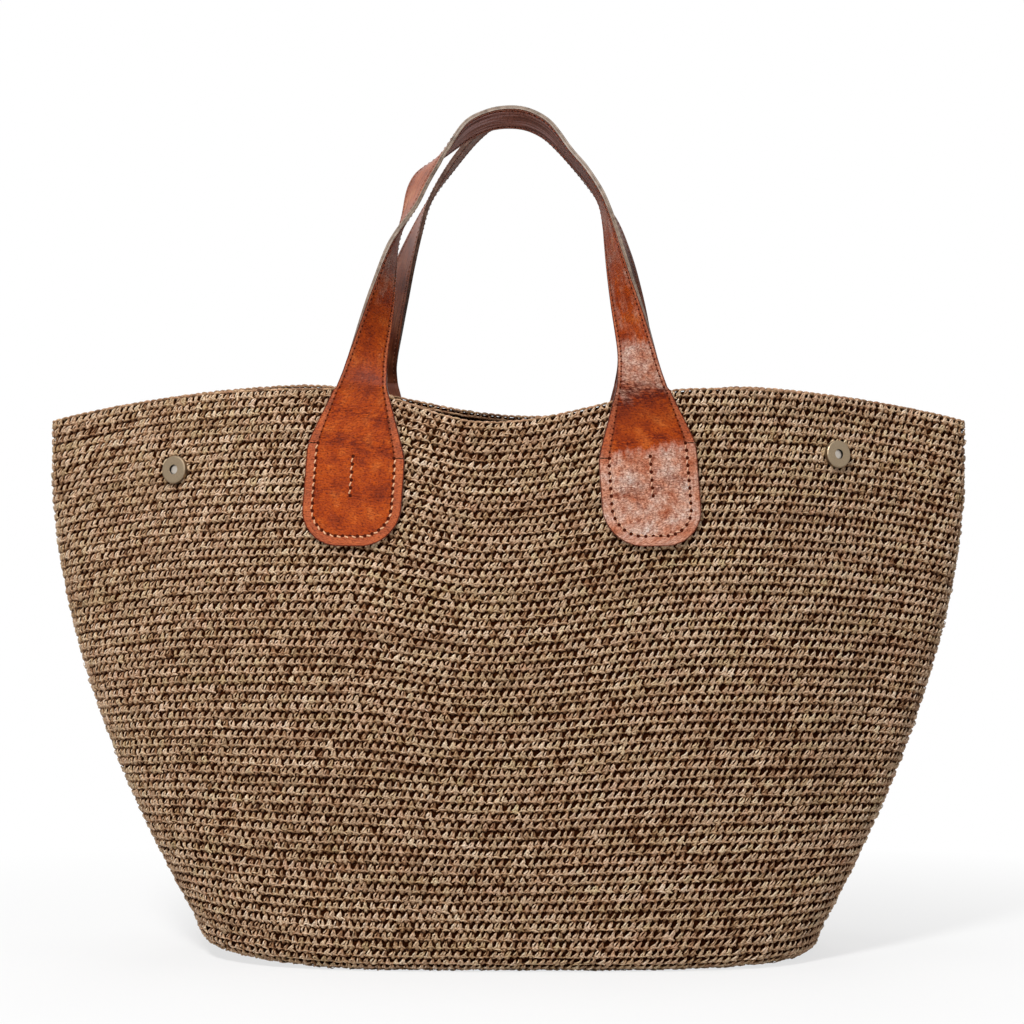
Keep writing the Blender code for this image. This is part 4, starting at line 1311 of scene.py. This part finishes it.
def leather_finish():
    """Waxed cognac leather: mottled, wrinkled across at its creases with painted shade there, pale and
    crackled where it is worn and where painted sheen lies, darker with painted shade on shaded lengths.
    """
    finish, shader = new_finish("cognac_leather", 0.5, {
        "Specular IOR Level": 0.12, "Coat Weight": 0.03, "Coat Roughness": 0.4,
    })
    place = strip_place(finish)
    mottle = noise(finish, place, 70.0, 5.0, 0.6)
    body = ramp(finish, mottle, [
        (0.34, (138, 50, 5)), (0.46, (170, 68, 8)), (0.56, (184, 80, 14)), (0.68, (204, 106, 42)),
    ])
    # The pale skin: partly real wear, partly painted sheen
    skin = mixed(finish, "MIX", wear_and_sheen_share(finish, place), body, wear_and_sheen_colour(finish, place))
    wrinkles = wrinkle_lines(finish, place)
    used = used_colour(finish, place, skin, wrinkles)
    seam = summed(finish, times(finish, attribute(finish, "seam"), 1.0 / SEAM_REACH), 0.5)
    groove = ramp(finish, seam, [(0.32, BLACK), (0.5, WHITE), (0.68, BLACK)])
    edged = edged_colour(finish, used, seam, groove)
    pores = noise(finish, place, 620.0, 4.0, 0.65, (1.6, 1.0))
    grain = ramp(finish, pores, [
        (0.34, (150, 120, 100)), (0.48, (230, 218, 208)), (0.58, (248, 244, 238)), (0.68, WHITE),
    ])
    calm = maths(finish, "SUBTRACT", 1.0, attribute(finish, "dark"))
    join(finish, mixed(finish, "MULTIPLY", calm, edged, grain), shader, "Base Color")
    bump(finish, shader, [
        (times(finish, pores, calm), 0.8, 0.0004), (groove, -0.6, 0.0005),
        (times(finish, wrinkles, calm), -0.6, 0.0006), (mottle, 0.2, 0.0012),
    ])
    return finish


def edge_finish():
    """Painted leather edge."""
    finish, shader = new_finish("edge_paint", 0.5)
    spots = noise(finish, object_place(finish), 260.0, 3.0)
    brown = ramp(finish, spots, [(0.3, (66, 38, 28)), (0.7, (112, 80, 66))])
    taupe = ramp(finish, spots, [(0.3, (84, 68, 54)), (0.7, (140, 122, 106))])
    join(finish, mixed(finish, "MIX", attribute(finish, "taupe"), brown, taupe), shader, "Base Color")
    bump(finish, shader, [(spots, 0.2, 0.0003)])
    return finish


def lining_finish():
    """Dull brown lining leather with fine lines along the strap, darkened with painted shade on shaded
    lengths.
    """
    finish, shader = new_finish("lining_leather", 0.48, {"Coat Weight": 0.15, "Coat Roughness": 0.35})
    place = strip_place(finish)
    lines = noise(finish, place, 260.0, 3.0, 0.6, (0.16, 3.0))
    cloud = noise(finish, place, 60.0, 4.0)
    body = ramp(finish, cloud, [
        (0.34, (124, 58, 26)), (0.5, (158, 84, 50)), (0.66, (178, 110, 76)),
    ])
    fine = ramp(finish, lines, [(0.35, (190, 176, 168)), (0.6, WHITE)])
    plain = mixed(finish, "MULTIPLY", 1.0, body, fine)
    # Painted shade on the lengths that lie in shade
    lining_shaded = mixed(finish, "MULTIPLY", attribute(finish, "strap_shade"), plain, srgb(152, 134, 122))
    join(finish, lining_shaded, shader, "Base Color")
    bump(finish, shader, [(lines, 0.3, 0.0004)])
    return finish


def plain_finish(name, first, second, roughness):
    """Thread or a hole's shade."""
    finish, shader = new_finish(name, roughness, {"Specular IOR Level": 0.1})
    fibre = noise(finish, object_place(finish), 2200.0)
    join(finish, ramp(finish, fibre, [(0.35, first), (0.65, second)]), shader, "Base Color")
    return finish


def strap_lining(side, label, finishes):
    """A handle's lining."""
    middle, width, normal, half = strap_face(side)
    aside = COLUMN_SHARES[None, :] * half[:, None]
    face = middle[:, None] + width[:, None] * aside[..., None] - normal[:, None] * STRAP_LEATHER
    share = (middle[:, 2] - HINGE_HEIGHT) / RISE[side]
    # Painted shade on the back lining: strongest at the hinge, gone higher up the legs
    strap_shade = np.clip((LINING_SHADE_END - share) / LINING_FADE, 0.0, LINING_SHADE) * (side == BACK)
    values = {
        "along": far_along(middle)[:, None], "across": aside,
        "taupe": edge_tone(side, share)[:, None], "strap_shade": strap_shade[:, None],
    }
    made = slab(f"{label}_lining", face, normal[:, None], lining_layer(len(middle)), finishes, values)
    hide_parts(f"{label}_handle_lining")
    return made


def inner_patch(side, label, hand, place, finishes):
    """The leather behind a tab, on the inside of the wall."""
    face, out, inside, seam, drop = tab_face(side, hand, PATCH_TOP_DROP, PATCH_INSET, -WALL - SEAT_GAP)
    values = {"along": drop[:, None], "across": np.linalg.norm(face - face[:, :1], axis=2)}
    made = slab(f"{label}_{place}_inner_leather", face, out, PATCH_LEATHER, finishes, values)
    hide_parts(f"{label}_{place}_inner_patch")
    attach(made, "basket")


def leather():
    """Both handles with their tabs, linings, inner patches and stitches."""
    cognac = leather_finish()
    edge = edge_finish()
    lining = lining_finish()
    threads = [
        plain_finish("stitch_hole", (52, 14, 3), (74, 24, 8), 0.9),
        plain_finish("cognac_thread", (112, 46, 20), (142, 66, 36), 0.7),
        plain_finish("coral_thread", (208, 146, 106), (238, 190, 150), 0.7),
        plain_finish("pink_thread", (200, 146, 116), (228, 180, 152), 0.7),
        plain_finish("brown_thread", (96, 56, 42), (128, 84, 66), 0.7),
    ]
    for side, label in SIDES:
        *strip, values, thickness = strip_face(side)
        outer = slab(f"{label}_leather", *strip, thickness, [cognac, edge, lining], values, uncut(side))
        tabs = [f"{label}_{place}_tab" for hand, place in HANDS]
        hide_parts(*tabs, f"{label}_handle_leather")
        under = strap_lining(side, label, [lining, edge, lining])
        sewing = sew(side)
        stitches = mesh_piece(
            f"{label}_stitches", np.concatenate(sewing.points), np.concatenate(sewing.faces), threads,
            face_finish=np.concatenate(sewing.kinds),
        )
        fold = side * float(np.abs(strap_face(side)[0][0, 1]))
        slots = ("cognac_leather", "lining_leather", "cognac_leather")
        for piece, slot in zip((outer, under, stitches), slots):
            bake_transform(piece)
        for hand, place in HANDS:
            inner_patch(side, label, hand, place, [lining, edge, lining])


METAL_SHADE = 0.933


def metal_finish(name, colour, roughness):
    """Metal with a faint grain."""
    finish, shader = new_finish(name, roughness, {"Metallic": 1.0})
    grain = noise(finish, object_place(finish), 1400.0)
    dim = [METAL_SHADE * channel for channel in colour]
    join(finish, ramp(finish, grain, [(0.3, dim), (0.7, colour)]), shader, "Base Color")
    bump(finish, shader, [(grain, 0.15, 0.00005)])
    return finish


def dress_metal(frame):
    """Finishes for the metal pieces, which keep their CAD shape."""
    nickel = metal_finish("brushed_nickel", (152, 134, 110), 0.42)
    steel = metal_finish("plain_steel", (196, 188, 178), 0.45)
    magnet = metal_finish("magnet", (70, 70, 70), 0.5)
    for name, piece in frame["nodes"].items():
        if "snap" not in name:
            continue
        finish = nickel
        if name.endswith("_magnet"):
            finish = magnet
        if name.endswith(("_plate", "_washer")):
            finish = steel
        piece.data.materials.clear()
        piece.data.materials.append(finish)


def aim(thing, target):
    """Turn a lamp or a camera towards a point."""
    direction = Vector(target) - thing.location
    thing.rotation_euler = direction.to_track_quat("-Z", "Y").to_euler()


def camera():
    """The photograph's view."""
    lens = bpy.data.cameras.new("view")
    lens.sensor_width = SENSOR
    lens.lens = PIXELS_A_METRE * CAMERA_DISTANCE / PHOTO_WIDTH * SENSOR
    made = placed("view", lens)
    x, y, z = CAMERA_AIM
    back = CAMERA_DISTANCE * math.cos(CAMERA_ELEVATION)
    made.location = (x, y - back, z + CAMERA_DISTANCE * math.sin(CAMERA_ELEVATION))
    aim(made, CAMERA_AIM)
    bpy.context.scene.camera = made


def lamp(name, place, size, power):
    """A soft square lamp."""
    light = bpy.data.lights.new(name, "AREA")
    light.size = size
    light.energy = power
    made = placed(name, light)
    made.location = place
    aim(made, LAMP_TARGET)


def floor_finish():
    """A white floor: plain near the object, so that its shadow shows, and bright to the eye farther out."""
    tone = (FLOOR_TONE, FLOOR_TONE, FLOOR_TONE, 1.0)
    finish, shader = new_finish("floor", 0.9, {"Base Color": tone, "Specular IOR Level": 0.0})
    place = scaled(finish, object_place(finish), (1.0, FLOOR_STRETCH))
    far = add_node(finish, "ShaderNodeVectorMath", {0: place}, operation="LENGTH").outputs["Value"]
    fade = add_node(finish, "ShaderNodeMapRange", {
        "Value": far, "From Min": FADE_START, "From Max": FADE_END, "To Min": FADE_NEAR, "To Max": 1.0,
    }).outputs["Result"]
    seen = add_node(finish, "ShaderNodeLightPath").outputs["Is Camera Ray"]
    glow = add_node(finish, "ShaderNodeEmission", {"Color": (1.0, 1.0, 1.0, 1.0), "Strength": 1.0})
    blend = add_node(finish, "ShaderNodeMixShader", {
        0: times(finish, fade, seen), 1: shader.outputs["BSDF"], 2: glow.outputs["Emission"],
    })
    end = finish.node_tree.nodes["Material Output"]
    finish.node_tree.links.new(blend.outputs[0], end.inputs["Surface"])
    return finish


def stage():
    """A pale floor that fades into a white surrounding, and soft lamps."""
    corners = np.array([(-1.0, -1.0, 0.0), (1.0, -1.0, 0.0), (1.0, 1.0, 0.0), (-1.0, 1.0, 0.0)]) * FLOOR_REACH
    floor = mesh_piece("floor", corners, np.array([(0, 1, 2, 3)]), [floor_finish()])
    world = bpy.data.worlds.new("surrounding")
    world.use_nodes = True
    bpy.context.scene.world = world
    path = add_node(world, "ShaderNodeLightPath").outputs
    seen = maths(world, "MAXIMUM", path["Is Camera Ray"], path["Is Glossy Ray"])
    strength = add_node(world, "ShaderNodeMapRange", {"Value": seen, "To Min": AMBIENT, "To Max": 1.0})
    background = world.node_tree.nodes["Background"]
    background.inputs["Color"].default_value = (1.0, 1.0, 1.0, 1.0)
    join(world, strength.outputs[0], background, "Strength")
    for each in LAMPS:
        lamp(*each)


def settings():
    """Plain colour handling."""
    bpy.context.scene.view_settings.view_transform = "Standard"


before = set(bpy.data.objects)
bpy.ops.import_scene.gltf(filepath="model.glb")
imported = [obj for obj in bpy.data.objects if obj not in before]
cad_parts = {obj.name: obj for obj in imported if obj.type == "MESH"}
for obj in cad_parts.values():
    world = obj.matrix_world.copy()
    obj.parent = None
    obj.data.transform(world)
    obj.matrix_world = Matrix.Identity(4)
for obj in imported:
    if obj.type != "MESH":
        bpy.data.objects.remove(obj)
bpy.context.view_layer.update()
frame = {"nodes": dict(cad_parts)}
skin = Skin()
crochet(skin)
leather()
dress_metal(frame)
camera()
stage()
settings()
